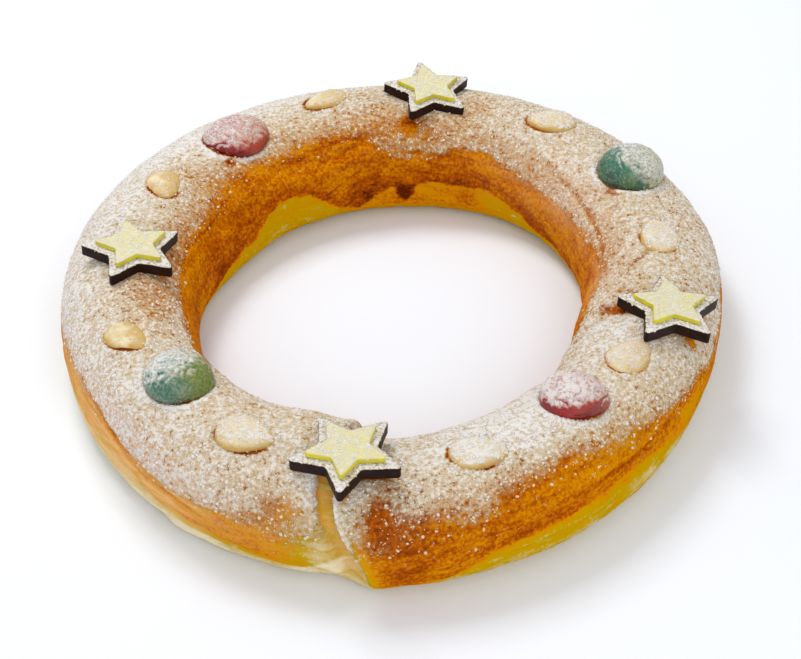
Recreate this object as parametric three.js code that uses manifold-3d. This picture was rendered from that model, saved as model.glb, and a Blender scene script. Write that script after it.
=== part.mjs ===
// An almond Christmas wreath: one roll of sweet yeast dough, bent into a ring and baked so that its
// two ends meet at the front in an open seam. On its crest sit four stars of two chocolate layers,
// two red and two green glace cherries and eight blanched almond halves.
//
// Millimetres, +Z up. The wreath stands on z = 0, the origin is under the middle of its box, and
// the front is -Y. An angle is in degrees, counterclockwise from +X, seen from above. A side is the
// place around the roll's section, in degrees: 0 is outermost, 90 the crest, 180 the hole, 270 the
// base.

import * as THREE from 'three';
import { mergeVertices } from 'three/addons/utils/BufferGeometryUtils.js';
import Module from 'manifold-3d';

const wasm = await Module();
wasm.setup();

// The roll of dough.
const RING_RADIUS = 101;
const ROLL_HALF_WIDTH = 26.9;
const ROLL_HEIGHT = 41.8;
const WAIST_HEIGHT = 15.1;
const CROWN_ROUNDNESS = 2.22;
const FOOT_ROUNDNESS = 3.18;
const FOOT_PRESS = 1.06;
const FOOT_HEIGHT = 4;
const GIRTH_PER_DEGREE = 0.43;
const ARC_PER_DEGREE = (Math.PI / 180) * RING_RADIUS;

// A hand-rolled ring is uneven: each wave swells the size by so much, so many times round the ring.
const RADIUS_WAVES = [
  { count: 2, swell: 2.4, peak: 18 },
  { count: 3, swell: 1.6, peak: 29 },
  { count: 4, swell: 0.5, peak: 30 },
];
const WIDTH_WAVES = [
  { count: 1, swell: 2.0, peak: 102 },
  { count: 2, swell: 1.3, peak: 133 },
  { count: 3, swell: 1.2, peak: 20 },
];
const HEIGHT_WAVES = [
  { count: 1, swell: 1.3, peak: 158 },
  { count: 2, swell: 1.0, peak: 37 },
  { count: 3, swell: 1.4, peak: 83 },
];

// The seam, where the right end of the roll lies over the left one. The steps are what the right
// end adds and the left end loses, and they fade out along the ring. The trough and the wall beside
// it are measured along the ring, and near the foot the wall runs out into a slope.
const SEAM = {
  angle: 266.5,
  lean: 6.5,
  leanSide: 65,
  radiusStep: 3,
  widthStep: -1,
  heightStep: -1.8,
  fade: 28,
  wallStart: -1.6,
  wallEnd: 0.6,
  slopeLength: 12,
  troughStart: -10.5,
  troughFloor: -6,
  troughDepth: 3.4,
  rimRise: 1.1,
  rimWidth: 6,
  footSides: [-45, 5],
};

// Folds and creases in the skin: their way over the dough as [angle, side] pairs, and their depth
// and half width.
const CREASES = [
  { path: [[202, 25], [211, 11], [222, -4], [233, -20], [252, -24]], depth: 1.9, width: 5 },
  { path: [[340, 22], [319, 6], [298, 15], [281, 18]], depth: 1.7, width: 5 },
  { path: [[326, 148], [335, 140], [340, 116], [336, 92]], depth: 2.2, width: 5.5 },
  { path: [[170, 146], [157, 150], [142, 154], [128, 156]], depth: 1.6, width: 5 },
  { path: [[136, 134], [115, 142], [101, 136], [91, 130]], depth: 1.4, width: 5 },
];

// Swellings and hollows left by the hand and by the oven, at an angle and a side, with their half
// length along the ring, their half girth round the roll and their rise.
const LUMPS = [
  { angle: 249, side: 128, length: 13, girth: 12, rise: 1.8 },
  { angle: 346, side: 158, length: 15, girth: 14, rise: 2 },
  { angle: 319, side: 142, length: 11, girth: 12, rise: -2.8 },
  { angle: 150, side: 208, length: 32, girth: 10, rise: 2.4 },
  { angle: 190, side: 168, length: 22, girth: 13, rise: 1.2 },
  { angle: 9, side: 28, length: 22, girth: 15, rise: 1 },
  { angle: 234, side: -42, length: 30, girth: 9, rise: 1.6 },
  { angle: 312, side: -15, length: 34, girth: 10, rise: 1 },
];

// The toppings. Offset is how far one lies outside the middle of the roll, and turn is how far its
// length is turned from the way round the ring. A star is placed by its own radius and height,
// because it lies flat on the crest, and point is the direction of its first arm.
const GAP = 0.35;
const STAR = { reach: 20.8, waist: 0.5, tipRound: 0.12, thickness: 4.7 };
const TOP_STAR = { reach: 15, waist: 0.5, tipRound: 0.12, thickness: 1.9 };
const STARS = [
  { name: 'front', angle: 261.4, radius: 101.7, top: 45.9, leanOut: -7, leanAlong: 0, point: -97 },
  { name: 'right', angle: 341.3, radius: 107.8, top: 43.9, leanOut: 1, leanAlong: 8, point: 90 },
  { name: 'back', angle: 79.4, radius: 101.2, top: 47.2, leanOut: 1, leanAlong: -5, point: 101 },
  { name: 'left', angle: 178.8, radius: 97.4, top: 47.2, leanOut: -6, leanAlong: -5, point: 108 },
];
const CHERRIES = [
  { name: 'cherry_red_back', look: 'redCherry', angle: 129.5, offset: -0.5, turn: -40,
    length: 28, width: 25, height: 14, sink: 7 },
  { name: 'cherry_red_front', look: 'redCherry', angle: 310.2, offset: -2, turn: -54,
    length: 24.5, width: 20, height: 17, sink: 8.5 },
  { name: 'cherry_green_back', look: 'greenCherry', angle: 26, offset: 4.2, turn: 64,
    length: 27, width: 25, height: 20, sink: 9.2 },
  { name: 'cherry_green_front', look: 'greenCherry', angle: 221, offset: -3.2, turn: 39,
    length: 25, width: 24, height: 16, sink: 8 },
];
const ALMOND_HEIGHT = 7;
const ALMONDS = [
  { angle: 286.5, offset: -0.2, turn: -15, length: 21, width: 13.5, sink: 4.2 },
  { angle: 326.8, offset: 2.4, turn: -13, length: 20, width: 14.5, sink: 4.9 },
  { angle: 4.6, offset: 1.2, turn: 4, length: 20, width: 15, sink: 4.6 },
  { angle: 49.2, offset: 3.3, turn: 40, length: 21, width: 15, sink: 3.8 },
  { angle: 104.6, offset: 5.2, turn: 14, length: 20, width: 13, sink: 4.2 },
  { angle: 153, offset: -0.2, turn: 43, length: 19, width: 14, sink: 4.6 },
  { angle: 204.8, offset: 2.6, turn: 25, length: 19, width: 13, sink: 5.2 },
  { angle: 240.8, offset: 2.6, turn: 8, length: 21, width: 14.5, sink: 4 },
];

const LOOKS = {
  dough: { color: 0xc9882c, roughness: 0.55 },
  chocolate: { color: 0x2e1b18, roughness: 0.45 },
  lemon: { color: 0xe6e08c, roughness: 0.5 },
  almond: { color: 0xe9d9a4, roughness: 0.6 },
  redCherry: { color: 0x8e2a30, roughness: 0.25 },
  greenCherry: { color: 0x2e6a3c, roughness: 0.25 },
};

// The mesh of the roll, with fine columns near the seam and coarse ones elsewhere, in degrees, and
// the meshes of the round toppings.
const COARSE_STEP = 4.3;
const SEAM_COLUMNS = [-8, -5.6, -4.2, -3, -1.6, -0.7, 0.4, 1.6, 3.6, 6];
const SIDE_COUNT = 28;
const CREST_SIDE = 90;
const CHERRY_MESH = { across: 14, up: 8 };
const ALMOND_MESH = { across: 12, up: 7 };
const MERGE_DISTANCE = 1e-4;

// What brings the middle of the wreath's box over the origin.
const BOX_SHIFT = { x: -0.69, y: 1.99 };

const { abs, cos, exp, hypot, max, min, pow, sign, sin } = Math;
const radians = THREE.MathUtils.degToRad;
const { clamp, smoothstep } = THREE.MathUtils;

function turnBetween(from, to) {
  return THREE.MathUtils.euclideanModulo(to - from + 180, 360) - 180;
}

function wavesAt(waves, angle) {
  return waves.reduce((sum, w) => sum + w.swell * cos(radians(w.count * (angle - w.peak))), 0);
}

function seamAngle(side) {
  const share = max(0, cos(radians(side - SEAM.leanSide)));
  return SEAM.angle - SEAM.lean * share * share;
}

// How much of the way down the outer foot a side lies, from 0 above it to 1.
function footShare(side) {
  return 1 - smoothstep(turnBetween(0, side), ...SEAM.footSides);
}

// How much of the right end shows: 0 left of the seam's wall and 1 right of it.
function wallShare(past, side) {
  const slope = abs(turnBetween(0, side)) < 90 ? SEAM.slopeLength * footShare(side) : 0;
  return smoothstep(past * ARC_PER_DEGREE, SEAM.wallStart - slope, SEAM.wallEnd);
}

// The roll's middle radius, half width and height at an angle. Past the seam lies to its right.
function rollAt(angle, past, side) {
  const end = 2 * wallShare(past, side) - 1;
  const step = end * exp(-abs(past) / SEAM.fade);
  return {
    radius: RING_RADIUS + wavesAt(RADIUS_WAVES, angle) + SEAM.radiusStep * step,
    halfWidth: ROLL_HALF_WIDTH + wavesAt(WIDTH_WAVES, angle) + SEAM.widthStep * step,
    height: ROLL_HEIGHT + wavesAt(HEIGHT_WAVES, angle) + SEAM.heightStep * step,
  };
}

// A point of the smooth roll: how far outside the middle, and how high.
function sectionPoint(roll, side) {
  const across = cos(radians(side));
  const up = sin(radians(side));
  const roundness = 2 / (up > 0 ? CROWN_ROUNDNESS : FOOT_ROUNDNESS);
  const rise = up > 0 ? roll.height - WAIST_HEIGHT : WAIST_HEIGHT * FOOT_PRESS;
  return {
    offset: roll.halfWidth * sign(across) * pow(abs(across), roundness),
    height: WAIST_HEIGHT + rise * sign(up) * pow(abs(up), roundness),
  };
}

// The distance from a place on the skin to a crease, in millimetres, and how much of the crease is
// left there, because it fades out towards both ends.
function creaseReach(path, angle, side) {
  let nearest = Infinity;
  let left = 0;
  for (let i = 1; i < path.length; i += 1) {
    const [startAngle, startSide] = path[i - 1];
    const along = turnBetween(startAngle, angle) * ARC_PER_DEGREE;
    const around = turnBetween(startSide, side) * GIRTH_PER_DEGREE;
    const runAlong = turnBetween(startAngle, path[i][0]) * ARC_PER_DEGREE;
    const runAround = (path[i][1] - startSide) * GIRTH_PER_DEGREE;
    const share = (along * runAlong + around * runAround) / (runAlong ** 2 + runAround ** 2);
    const held = clamp(share, 0, 1);
    const distance = hypot(along - held * runAlong, around - held * runAround);
    if (distance < nearest) {
      nearest = distance;
      left = sin(Math.PI * (i - 1 + held) / (path.length - 1));
    }
  }
  return { distance: nearest, left };
}

// How far the skin stands out from the smooth roll: the seam's trough and rim, the lumps and the
// creases.
function relief(angle, side, past) {
  const mm = past * ARC_PER_DEGREE;
  const down = smoothstep(mm, SEAM.troughStart, SEAM.troughFloor) * (1 - footShare(side));
  const wall = wallShare(past, side);
  const rim = wall * exp(-max(0, mm) / SEAM.rimWidth);
  let rise = SEAM.rimRise * rim - SEAM.troughDepth * down * (1 - wall);
  for (const lump of LUMPS) {
    const along = turnBetween(lump.angle, angle) * ARC_PER_DEGREE / lump.length;
    const around = turnBetween(lump.side, side) * GIRTH_PER_DEGREE / lump.girth;
    rise += lump.rise * exp(-(along ** 2) - around ** 2);
  }
  for (const crease of CREASES) {
    const { distance, left } = creaseReach(crease.path, angle, side);
    const share = max(0, 1 - (distance / crease.width) ** 2);
    rise -= crease.depth * left * share * share;
  }
  return rise;
}

// A point of the dough's skin.
function skinPoint(column, side) {
  const past = turnBetween(SEAM.angle, column);
  const nearSeam = exp(-abs(past) / SEAM.fade);
  const angle = column + (seamAngle(side) - SEAM.angle) * nearSeam;
  const roll = rollAt(angle, past, side);
  const { offset, height } = sectionPoint(roll, side);
  const out = new THREE.Vector2(
    offset / roll.halfWidth ** 2,
    (height - WAIST_HEIGHT) / (roll.height - WAIST_HEIGHT) ** 2,
  ).normalize();
  const rise = relief(angle, side, past) * smoothstep(height, 0, FOOT_HEIGHT);
  const radius = roll.radius + offset + rise * out.x;
  return new THREE.Vector3(
    radius * cos(radians(angle)),
    radius * sin(radians(angle)),
    max(0, height + rise * out.y),
  );
}

function geometryFrom(positions, indices) {
  const geometry = new THREE.BufferGeometry();
  geometry.setAttribute('position', new THREE.Float32BufferAttribute(positions, 3));
  geometry.setIndex(indices);
  return geometry;
}

function columnAngles() {
  const columns = SEAM_COLUMNS.map((past) => SEAM.angle + past);
  const start = columns.at(-1);
  const rest = 360 + columns[0] - start;
  const count = Math.round(rest / COARSE_STEP);
  for (let i = 1; i < count; i += 1) {
    columns.push(start + (rest * i) / count);
  }
  return columns;
}

function doughGeometry() {
  const columns = columnAngles();
  const positions = [];
  const indices = [];
  columns.forEach((column, i) => {
    for (let j = 0; j < SIDE_COUNT; j += 1) {
      positions.push(...skinPoint(column, (360 * j) / SIDE_COUNT));
      const next = (i + 1) % columns.length;
      const over = (j + 1) % SIDE_COUNT;
      const a = i * SIDE_COUNT + j;
      const b = next * SIDE_COUNT + j;
      const c = next * SIDE_COUNT + over;
      const d = i * SIDE_COUNT + over;
      indices.push(a, b, c, a, c, d);
    }
  });
  return geometryFrom(positions, indices);
}

// A five-armed star lying on z = 0, its first arm along +X, grown outwards by a margin.
function starGeometry(star, margin) {
  const shape = new THREE.Shape();
  const reach = star.reach + 2 * margin;
  const arms = 5;
  const polar = (radius, turns) => new THREE.Vector2(
    radius * cos(2 * Math.PI * turns),
    radius * sin(2 * Math.PI * turns),
  );
  for (let arm = 0; arm < arms; arm += 1) {
    const before = polar(reach * star.waist, (arm - 0.5) / arms);
    const tip = polar(reach, arm / arms);
    const after = polar(reach * star.waist, (arm + 0.5) / arms);
    const rise = tip.clone().lerp(before, star.tipRound);
    const fall = tip.clone().lerp(after, star.tipRound);
    if (arm === 0) shape.moveTo(before.x, before.y);
    shape.lineTo(rise.x, rise.y);
    shape.quadraticCurveTo(tip.x, tip.y, fall.x, fall.y);
    if (arm < arms - 1) shape.lineTo(after.x, after.y);
  }
  shape.closePath();
  const depth = star.thickness + 2 * margin;
  const geometry = new THREE.ExtrudeGeometry(shape, { depth, bevelEnabled: false, curveSegments: 2 });
  return geometry.translate(0, 0, -margin);
}

// A round topping: a ball given its form and drawn out to its length, width and height, with its
// middle at the origin.
function ballGeometry(size, mesh, form) {
  const geometry = new THREE.SphereGeometry(1, mesh.across, mesh.up).rotateX(Math.PI / 2);
  const position = geometry.attributes.position;
  for (let i = 0; i < position.count; i += 1) {
    const point = form(new THREE.Vector3().fromBufferAttribute(position, i));
    position.setXYZ(i, point.x * size.length / 2, point.y * size.width / 2, point.z * size.height / 2);
  }
  return geometry;
}

function grown(size, margin) {
  return {
    length: size.length + 2 * margin,
    width: size.width + 2 * margin,
    height: size.height + 2 * margin,
  };
}

// A glace cherry, narrower at one end, where its top falls away.
function cherryGeometry(cherry, margin) {
  const taper = 0.12;
  return ballGeometry(grown(cherry, margin), CHERRY_MESH, (p) => {
    p.x *= 1 - taper * max(0, p.x) * p.z;
    p.y *= 1 - taper * p.x;
    return p;
  });
}

// Half an almond: blunt at one end and pointed at the other.
function almondGeometry(almond, margin) {
  const taper = 0.28;
  return ballGeometry(grown({ ...almond, height: ALMOND_HEIGHT }, margin), ALMOND_MESH, (p) => {
    p.y *= 1 - taper * p.x;
    return p;
  });
}

// The frame of a round topping, sunk into the crest: x along its length, z out of the dough.
function crestFrame(topping, height) {
  const past = turnBetween(SEAM.angle, topping.angle);
  const roll = rollAt(topping.angle, past, CREST_SIDE);
  const share = topping.offset / roll.halfWidth;
  const rise = roll.height - WAIST_HEIGHT;
  const crown = pow(1 - pow(abs(share), CROWN_ROUNDNESS), 1 / CROWN_ROUNDNESS);
  const out = new THREE.Vector2(
    sign(share) * pow(abs(share), CROWN_ROUNDNESS - 1) / roll.halfWidth,
    pow(crown, CROWN_ROUNDNESS - 1) / rise,
  ).normalize();
  const lift = height / 2 - topping.sink;
  const radius = roll.radius + topping.offset + lift * out.x;
  const up = WAIST_HEIGHT + rise * crown + lift * out.y;
  return new THREE.Matrix4().makeRotationZ(radians(topping.angle))
    .multiply(new THREE.Matrix4().makeTranslation(radius, 0, up))
    .multiply(new THREE.Matrix4().makeRotationY(Math.atan2(out.x, out.y)))
    .multiply(new THREE.Matrix4().makeRotationZ(radians(90 + topping.turn)));
}

// A star's frame: x along its first arm, z out of its top face, and the origin so far above it.
function starFrame(star, above) {
  return new THREE.Matrix4().makeRotationZ(radians(star.angle))
    .multiply(new THREE.Matrix4().makeTranslation(star.radius, 0, star.top))
    .multiply(new THREE.Matrix4().makeRotationY(radians(star.leanOut)))
    .multiply(new THREE.Matrix4().makeRotationX(radians(-star.leanAlong)))
    .multiply(new THREE.Matrix4().makeRotationZ(radians(star.point - star.angle)))
    .multiply(new THREE.Matrix4().makeTranslation(0, 0, above));
}

function toSolid(geometry) {
  const bare = geometry.clone();
  bare.deleteAttribute('normal');
  bare.deleteAttribute('uv');
  const merged = mergeVertices(bare, MERGE_DISTANCE);
  return new wasm.Manifold(new wasm.Mesh({
    numProp: 3,
    vertProperties: Float32Array.from(merged.attributes.position.array),
    triVerts: Uint32Array.from(merged.index.array),
  }));
}

function toGeometry(solid) {
  const mesh = solid.getMesh();
  return geometryFrom(mesh.vertProperties, Array.from(mesh.triVerts));
}

const wreath = new THREE.Group();
const sockets = [];

function addPiece(name, geometry, look) {
  const mesh = new THREE.Mesh(geometry, new THREE.MeshStandardMaterial({ ...look, metalness: 0 }));
  mesh.name = name;
  wreath.add(mesh);
}

for (const star of STARS) {
  const base = starFrame(star, -STAR.thickness);
  const top = starFrame(star, GAP);
  sockets.push(starGeometry(STAR, GAP).applyMatrix4(base));
  addPiece(`star_${star.name}_base`, starGeometry(STAR, 0).applyMatrix4(base), LOOKS.chocolate);
  addPiece(`star_${star.name}_top`, starGeometry(TOP_STAR, 0).applyMatrix4(top), LOOKS.lemon);
}

for (const cherry of CHERRIES) {
  const frame = crestFrame(cherry, cherry.height);
  sockets.push(cherryGeometry(cherry, GAP).applyMatrix4(frame));
  addPiece(cherry.name, cherryGeometry(cherry, 0).applyMatrix4(frame), LOOKS[cherry.look]);
}

ALMONDS.forEach((almond, i) => {
  const frame = crestFrame(almond, ALMOND_HEIGHT);
  sockets.push(almondGeometry(almond, GAP).applyMatrix4(frame));
  addPiece(`almond_${i + 1}`, almondGeometry(almond, 0).applyMatrix4(frame), LOOKS.almond);
});

const roll = toSolid(doughGeometry());
const dough = sockets.reduce((solid, socket) => solid.subtract(toSolid(socket)), roll);
addPiece('dough_ring', toGeometry(dough), LOOKS.dough);

wreath.position.set(BOX_SHIFT.x, BOX_SHIFT.y, 0);

export default wreath;
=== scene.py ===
"""An almond Christmas wreath: a ring of sweet yeast dough under icing sugar, with chocolate stars,
glace cherries and almond halves.

Sizes named in capitals are millimetres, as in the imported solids, and every mesh is made in metres.
The wreath stands on z = 0 and its front is -Y. An angle is in degrees, counterclockwise from +X.
A side is the place round the roll's section, in degrees: 0 is outermost, 90 the crest, 180 the
hole and 270 the base.
"""

import math

import bmesh
import bpy
import numpy as np
from bpy.props import FloatProperty, FloatVectorProperty, IntProperty, PointerProperty
from mathutils import Matrix, Vector, noise


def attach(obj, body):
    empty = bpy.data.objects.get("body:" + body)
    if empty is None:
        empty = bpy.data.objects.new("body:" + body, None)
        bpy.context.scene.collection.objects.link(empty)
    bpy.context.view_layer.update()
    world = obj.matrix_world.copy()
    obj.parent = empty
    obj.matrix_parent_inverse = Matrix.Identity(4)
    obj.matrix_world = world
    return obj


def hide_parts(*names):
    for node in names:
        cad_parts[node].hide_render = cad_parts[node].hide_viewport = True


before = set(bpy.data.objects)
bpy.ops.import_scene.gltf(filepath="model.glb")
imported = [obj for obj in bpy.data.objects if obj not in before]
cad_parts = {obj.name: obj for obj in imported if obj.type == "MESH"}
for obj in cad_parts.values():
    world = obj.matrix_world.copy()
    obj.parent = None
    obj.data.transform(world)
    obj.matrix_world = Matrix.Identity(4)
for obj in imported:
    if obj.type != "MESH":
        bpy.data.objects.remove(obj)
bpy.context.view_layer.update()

bl_info = {
    "name": "Almond Christmas Wreath",
    "version": (1, 0, 0),
    "blender": (4, 5, 0),
    "location": "3D View > Sidebar > Wreath",
    "description": "Shapes and finishes an iced almond wreath pastry over its packed solids",
    "category": "Object",
}

MM = 0.001
BODY = "root"
BOX_SHIFT = Vector((-0.69, 1.99, 0.0))
BLACK = (0.0, 0.0, 0.0)

# The stage, in metres. Each light is (name, its setting, place, target, width).
FLOOR_HALF = 4.0
FLOOR_DROP = 0.0002
CAMERA_CLIP = (0.01, 20.0)
LIGHTS = (
    ("window_light", "key", (-0.28, 0.42, 0.85), (0.0, 0.0, 0.0), 0.35),
    ("front_light", "fill", (0.25, -0.9, 0.7), (0.0, 0.0, 0.02), 0.8),
)

# The roll of dough.
WAIST_HEIGHT = 15.1
CROWN_ROUNDNESS = 2.22
FOOT_ROUNDNESS = 3.18
FOOT_PRESS = 1.06
FOOT_HEIGHT = 4.0
GIRTH_PER_DEGREE = 0.43

# Each wave is (count round the ring, swell, angle of the peak).
RADIUS_WAVES = ((2, 2.4, 18), (3, 1.6, 29), (4, 0.5, 30))
WIDTH_WAVES = ((1, 2.0, 102), (2, 1.3, 133), (3, 1.2, 20))
HEIGHT_WAVES = ((1, 1.3, 158), (2, 1.0, 37), (3, 1.4, 83))

# The seam, where the right end of the roll lies over the left one.
SEAM_ANGLE = 266.5
SEAM_LEAN = 6.5
SEAM_LEAN_SIDE = 65
SEAM_FADE = 28
SEAM_RADIUS_STEP = 3.0
SEAM_WIDTH_STEP = -1.0
SEAM_HEIGHT_STEP = -1.8
WALL_START = -1.6
WALL_END = 0.6
WALL_SLOPE = 12.0
TROUGH_START = -10.5
TROUGH_FLOOR = -6.0
TROUGH_DEPTH = 3.4
STRIP_START = TROUGH_START + 0.6
STRIP_END = TROUGH_FLOOR + 1.0
LIP_OFFSET = 0.6
RIM_RISE = 1.1
RIM_WIDTH = 6.0
FOOT_SIDES = (-45, 5)

# How the skin's points are spread: the number of fine steps that they are counted along, how much
# closer the columns come at the seam and how far round it, and the height below which a step
# across the base counts for only a share of its length.
FINE_STEPS = 7201
SEAM_CROWD = 2.2
SEAM_CROWD_REACH = 11.0
BASE_HEIGHT = 0.3
BASE_STEP = 0.35
# Streaks along the roll are drawn out by squeezing the pattern's way round the ring.
FLOW_SQUEEZE = 0.2

# Each crease is (its way as (angle, side) pairs, depth, half width).
CREASES = (
    (((202, 25), (211, 11), (222, -4), (233, -20), (252, -24)), 1.9, 5.0),
    (((340, 22), (319, 6), (298, 15), (281, 18)), 1.7, 5.0),
    (((326, 148), (335, 140), (340, 116), (336, 92)), 2.2, 5.5),
    (((170, 146), (157, 150), (142, 154), (128, 156)), 1.6, 5.0),
    (((136, 134), (115, 142), (101, 136), (91, 130)), 1.4, 5.0),
)
# Finer folds that only the dressed crust has, in the same way.
FINE_CREASES = (
    (((352, 134), (6, 136), (20, 135), (36, 130), (50, 118)), 0.7, 1.8),
    (((196, 31), (208, 29), (220, 20), (232, 10), (246, 4)), 0.6, 1.6),
    (((228, 2), (238, -3), (250, -8), (260, -12)), 0.6, 1.5),
    (((286, 30), (300, 26), (314, 20), (330, 26)), 0.5, 1.6),
    (((60, 150), (78, 146), (92, 140)), 0.6, 1.6),
    (((128, 127), (120, 134), (110, 127), (96, 127), (86, 127)), 0.7, 1.7),
    (((108, 138), (102, 135), (95, 130)), 0.6, 1.5), (((89, 147), (82, 145), (76, 141)), 0.5, 1.5),
    (((300, 7), (309, 5), (315, 2), (324, 4)), 0.6, 1.5),
    (((304, 27), (311, 23), (320, 22)), 0.6, 1.6),
    (((277, -20), (282, -3), (287, 3), (296, 8)), 0.6, 1.6),
    (((279, 0), (284, 8), (289, 12), (298, 12)), 0.5, 1.5),
    (((204, 33), (213, 24), (220, 16), (226, 9), (231, 10), (237, 18)), 0.7, 1.7),
    (((353, 116), (357, 106), (0, 97), (2, 86), (3, 70)), 0.8, 1.8),
    (((346, 126), (347, 112), (345, 92)), 0.7, 1.8),
)
# Each lump is (angle, side, half length along the ring, half girth, rise).
LUMPS = (
    (249, 128, 13, 12, 1.8), (346, 158, 15, 14, 2.0), (319, 142, 11, 12, -2.8),
    (150, 208, 32, 10, 2.4), (190, 168, 22, 13, 1.2), (9, 28, 22, 15, 1.0), (234, -42, 30, 9, 1.6),
    (312, -15, 34, 10, 1.0),
)

# Where the crust's colours change, as (angle, side) pairs round the ring. Below the outer gold
# line and past the inner one the dough rose late in the oven and stayed yellow.
OUTER_GOLD_LINE = (
    (0, -10), (30, -14), (60, -8), (90, -12), (120, -4), (150, -10), (180, 0), (195, 3), (210, 3),
    (217, 1), (226, -2), (234, -3), (240, -5), (248, -10), (255, -14), (263, 4), (270, -42),
    (279, -12), (285, 3), (293, 7), (304, 8), (314, 6), (322, 2), (331, -8), (345, -14),
)
INNER_GOLD_LINE = (
    (0, 215), (18, 200), (38, 193), (44, 182), (50, 179), (56, 172), (66, 173), (74, 172),
    (80, 176), (84, 190), (88, 176), (95, 181), (101, 196), (107, 191), (112, 181), (118, 171),
    (124, 164), (131, 165), (137, 173), (142, 181), (150, 184), (158, 189), (166, 200), (180, 215),
    (240, 205), (262, 190), (270, 215), (300, 200), (340, 215),
)
# Where the icing sugar ends on the outer flank and on the hole's flank.
OUTER_SUGAR_LINE = (
    (0, 12), (25, 22), (50, 30), (80, 24), (110, 30), (140, 22), (165, 16), (182, 5), (196, 20),
    (206, 24), (214, 19), (222, 13), (232, 8), (244, 11), (248, 9), (252, 2), (257, 0), (262, 14),
    (268, 4), (280, 11), (292, 23), (304, 26), (318, 24), (326, 18), (333, 15), (340, 11),
    (346, 8),
)
INNER_SUGAR_LINE = (
    (0, 147), (10, 154), (20, 156), (30, 156), (40, 155), (50, 151), (58, 144), (68, 142),
    (74, 152), (84, 158), (92, 148), (99, 134), (106, 134), (114, 141), (124, 143), (140, 143),
    (152, 145), (170, 145), (184, 151), (196, 151), (210, 146), (230, 150), (250, 146), (280, 150),
    (305, 152), (318, 170), (332, 166), (341, 156), (350, 150),
)
# How far in mm it thins out towards those ends, as (angle, width) pairs.
OUTER_SUGAR_FADE = (
    (0, 6), (200, 5), (238, 6), (244, 8), (248, 13), (252, 18), (258, 20), (266, 9), (280, 13),
    (300, 14), (318, 12), (331, 8), (340, 6),
)
INNER_SUGAR_FADE = (
    (0, 11), (14, 9), (30, 6), (60, 6), (84, 9), (98, 9), (112, 19), (142, 20), (158, 10),
    (300, 6), (330, 7), (346, 11),
)
SUGAR_ON_CREST = 0.62
# How far in mm the edges of the gold and of the sugar wander, on the outer side and the hole's.
GOLD_WANDER = (1.2, 1.3)
SUGAR_WANDER = (2.4, 1.6)
# Least sugar at which loose grains lie on a face, and how many triangles they may have.
LEAST_SUGAR = 0.04
MOST_TRIANGLES = 200000
# How far the crust is baked, from 0 for pale dough to 1 for dark caramel: below a gold line, what
# comes on above it, and what comes on still higher; then low on the bare strip at the seam, where
# the pale dough is also kept light as painted light in the shade of the trough and the front star,
# and on the lip beside it, which hides a share of the rest.
OUTER_BAKE = (0.175, 0.345, 0.12)
INNER_BAKE = (0.22, 0.35, 0.12)
STRIP_BAKE = 0.155
LIP_BAKE = 0.14
LIP_SHARE = 0.75
# How much of the sugar the bare strip lacks, and how much lies on the lip.
STRIP_LOSS = 0.85
LIP_SUGAR = 0.85
# Each patch is (angle, side, half length along the ring, half girth, change).
# Some sugar patches paint light and shade: more sugar beside the front star's left arm lightens the
# crest where the star shades it; less sugar at the right star's left side and at the feet of the
# back cherries leaves dark marks that are partly a fold or bare crust and partly painted shade.
SUGAR_PATCHES = (
    (270, 41, 13, 18, -0.3), (290, 36, 22, 14, -0.34), (308, 44, 30, 12, -0.18),
    (252, 36, 15, 14, -0.12), (195, 122, 22, 13, -0.22), (80, 128, 20, 10, -0.18),
    (104, 126, 26, 11, -0.14), (136, 130, 36, 10, -0.22), (166, 128, 20, 10, -0.16),
    (62, 128, 24, 8, -0.12), (340, 60, 24, 16, -0.06), (296, 108, 34, 16, 0.26),
    (332, 112, 12, 12, 0.14), (132, 58, 50, 14, 0.22), (168, 60, 26, 14, 0.12),
    (186, 40, 16, 14, 0.08), (83.5, 117, 3.5, 3.5, -0.45), (23.2, 104, 4, 2.5, -0.6),
    (136.2, 109, 3, 1.6, -0.5), (208, 50, 40, 14, 0.08), (264, 56, 6, 8, 0.16),
    (332, 64, 18, 10, 0.05), (178, 95, 16, 10, -0.08), (8, 134, 34, 9, -0.16),
    (44, 140, 22, 7, -0.12), (210, 20, 20, 8, 0.10), (340.5, 111, 2.4, 8, -0.5),
    (180, 12, 10, 8, 0.2), (200, 150, 14, 12, 0.15), (92, 112, 20, 12, -0.12),
    (180, 134, 14, 9, -0.15), (256, 58, 7, 8, 0.22), (273, 60, 6, 7, 0.16), (284, 46, 7, 6, 0.12),
    (146, 97, 10, 10, -0.15), (118, 100, 14, 10, -0.08), (68, 92, 8, 8, -0.15),
    (267, 48, 3.5, 8, -0.25), (277, 32, 8, 6, -0.2), (301, 50, 5, 5, -0.2), (312, 40, 16, 6, 0.06),
    (251.5, 34, 5.5, 5, -0.18), (253.5, 15, 9, 8, 0.2), (254, 44, 4, 5, -0.12),
)
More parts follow.
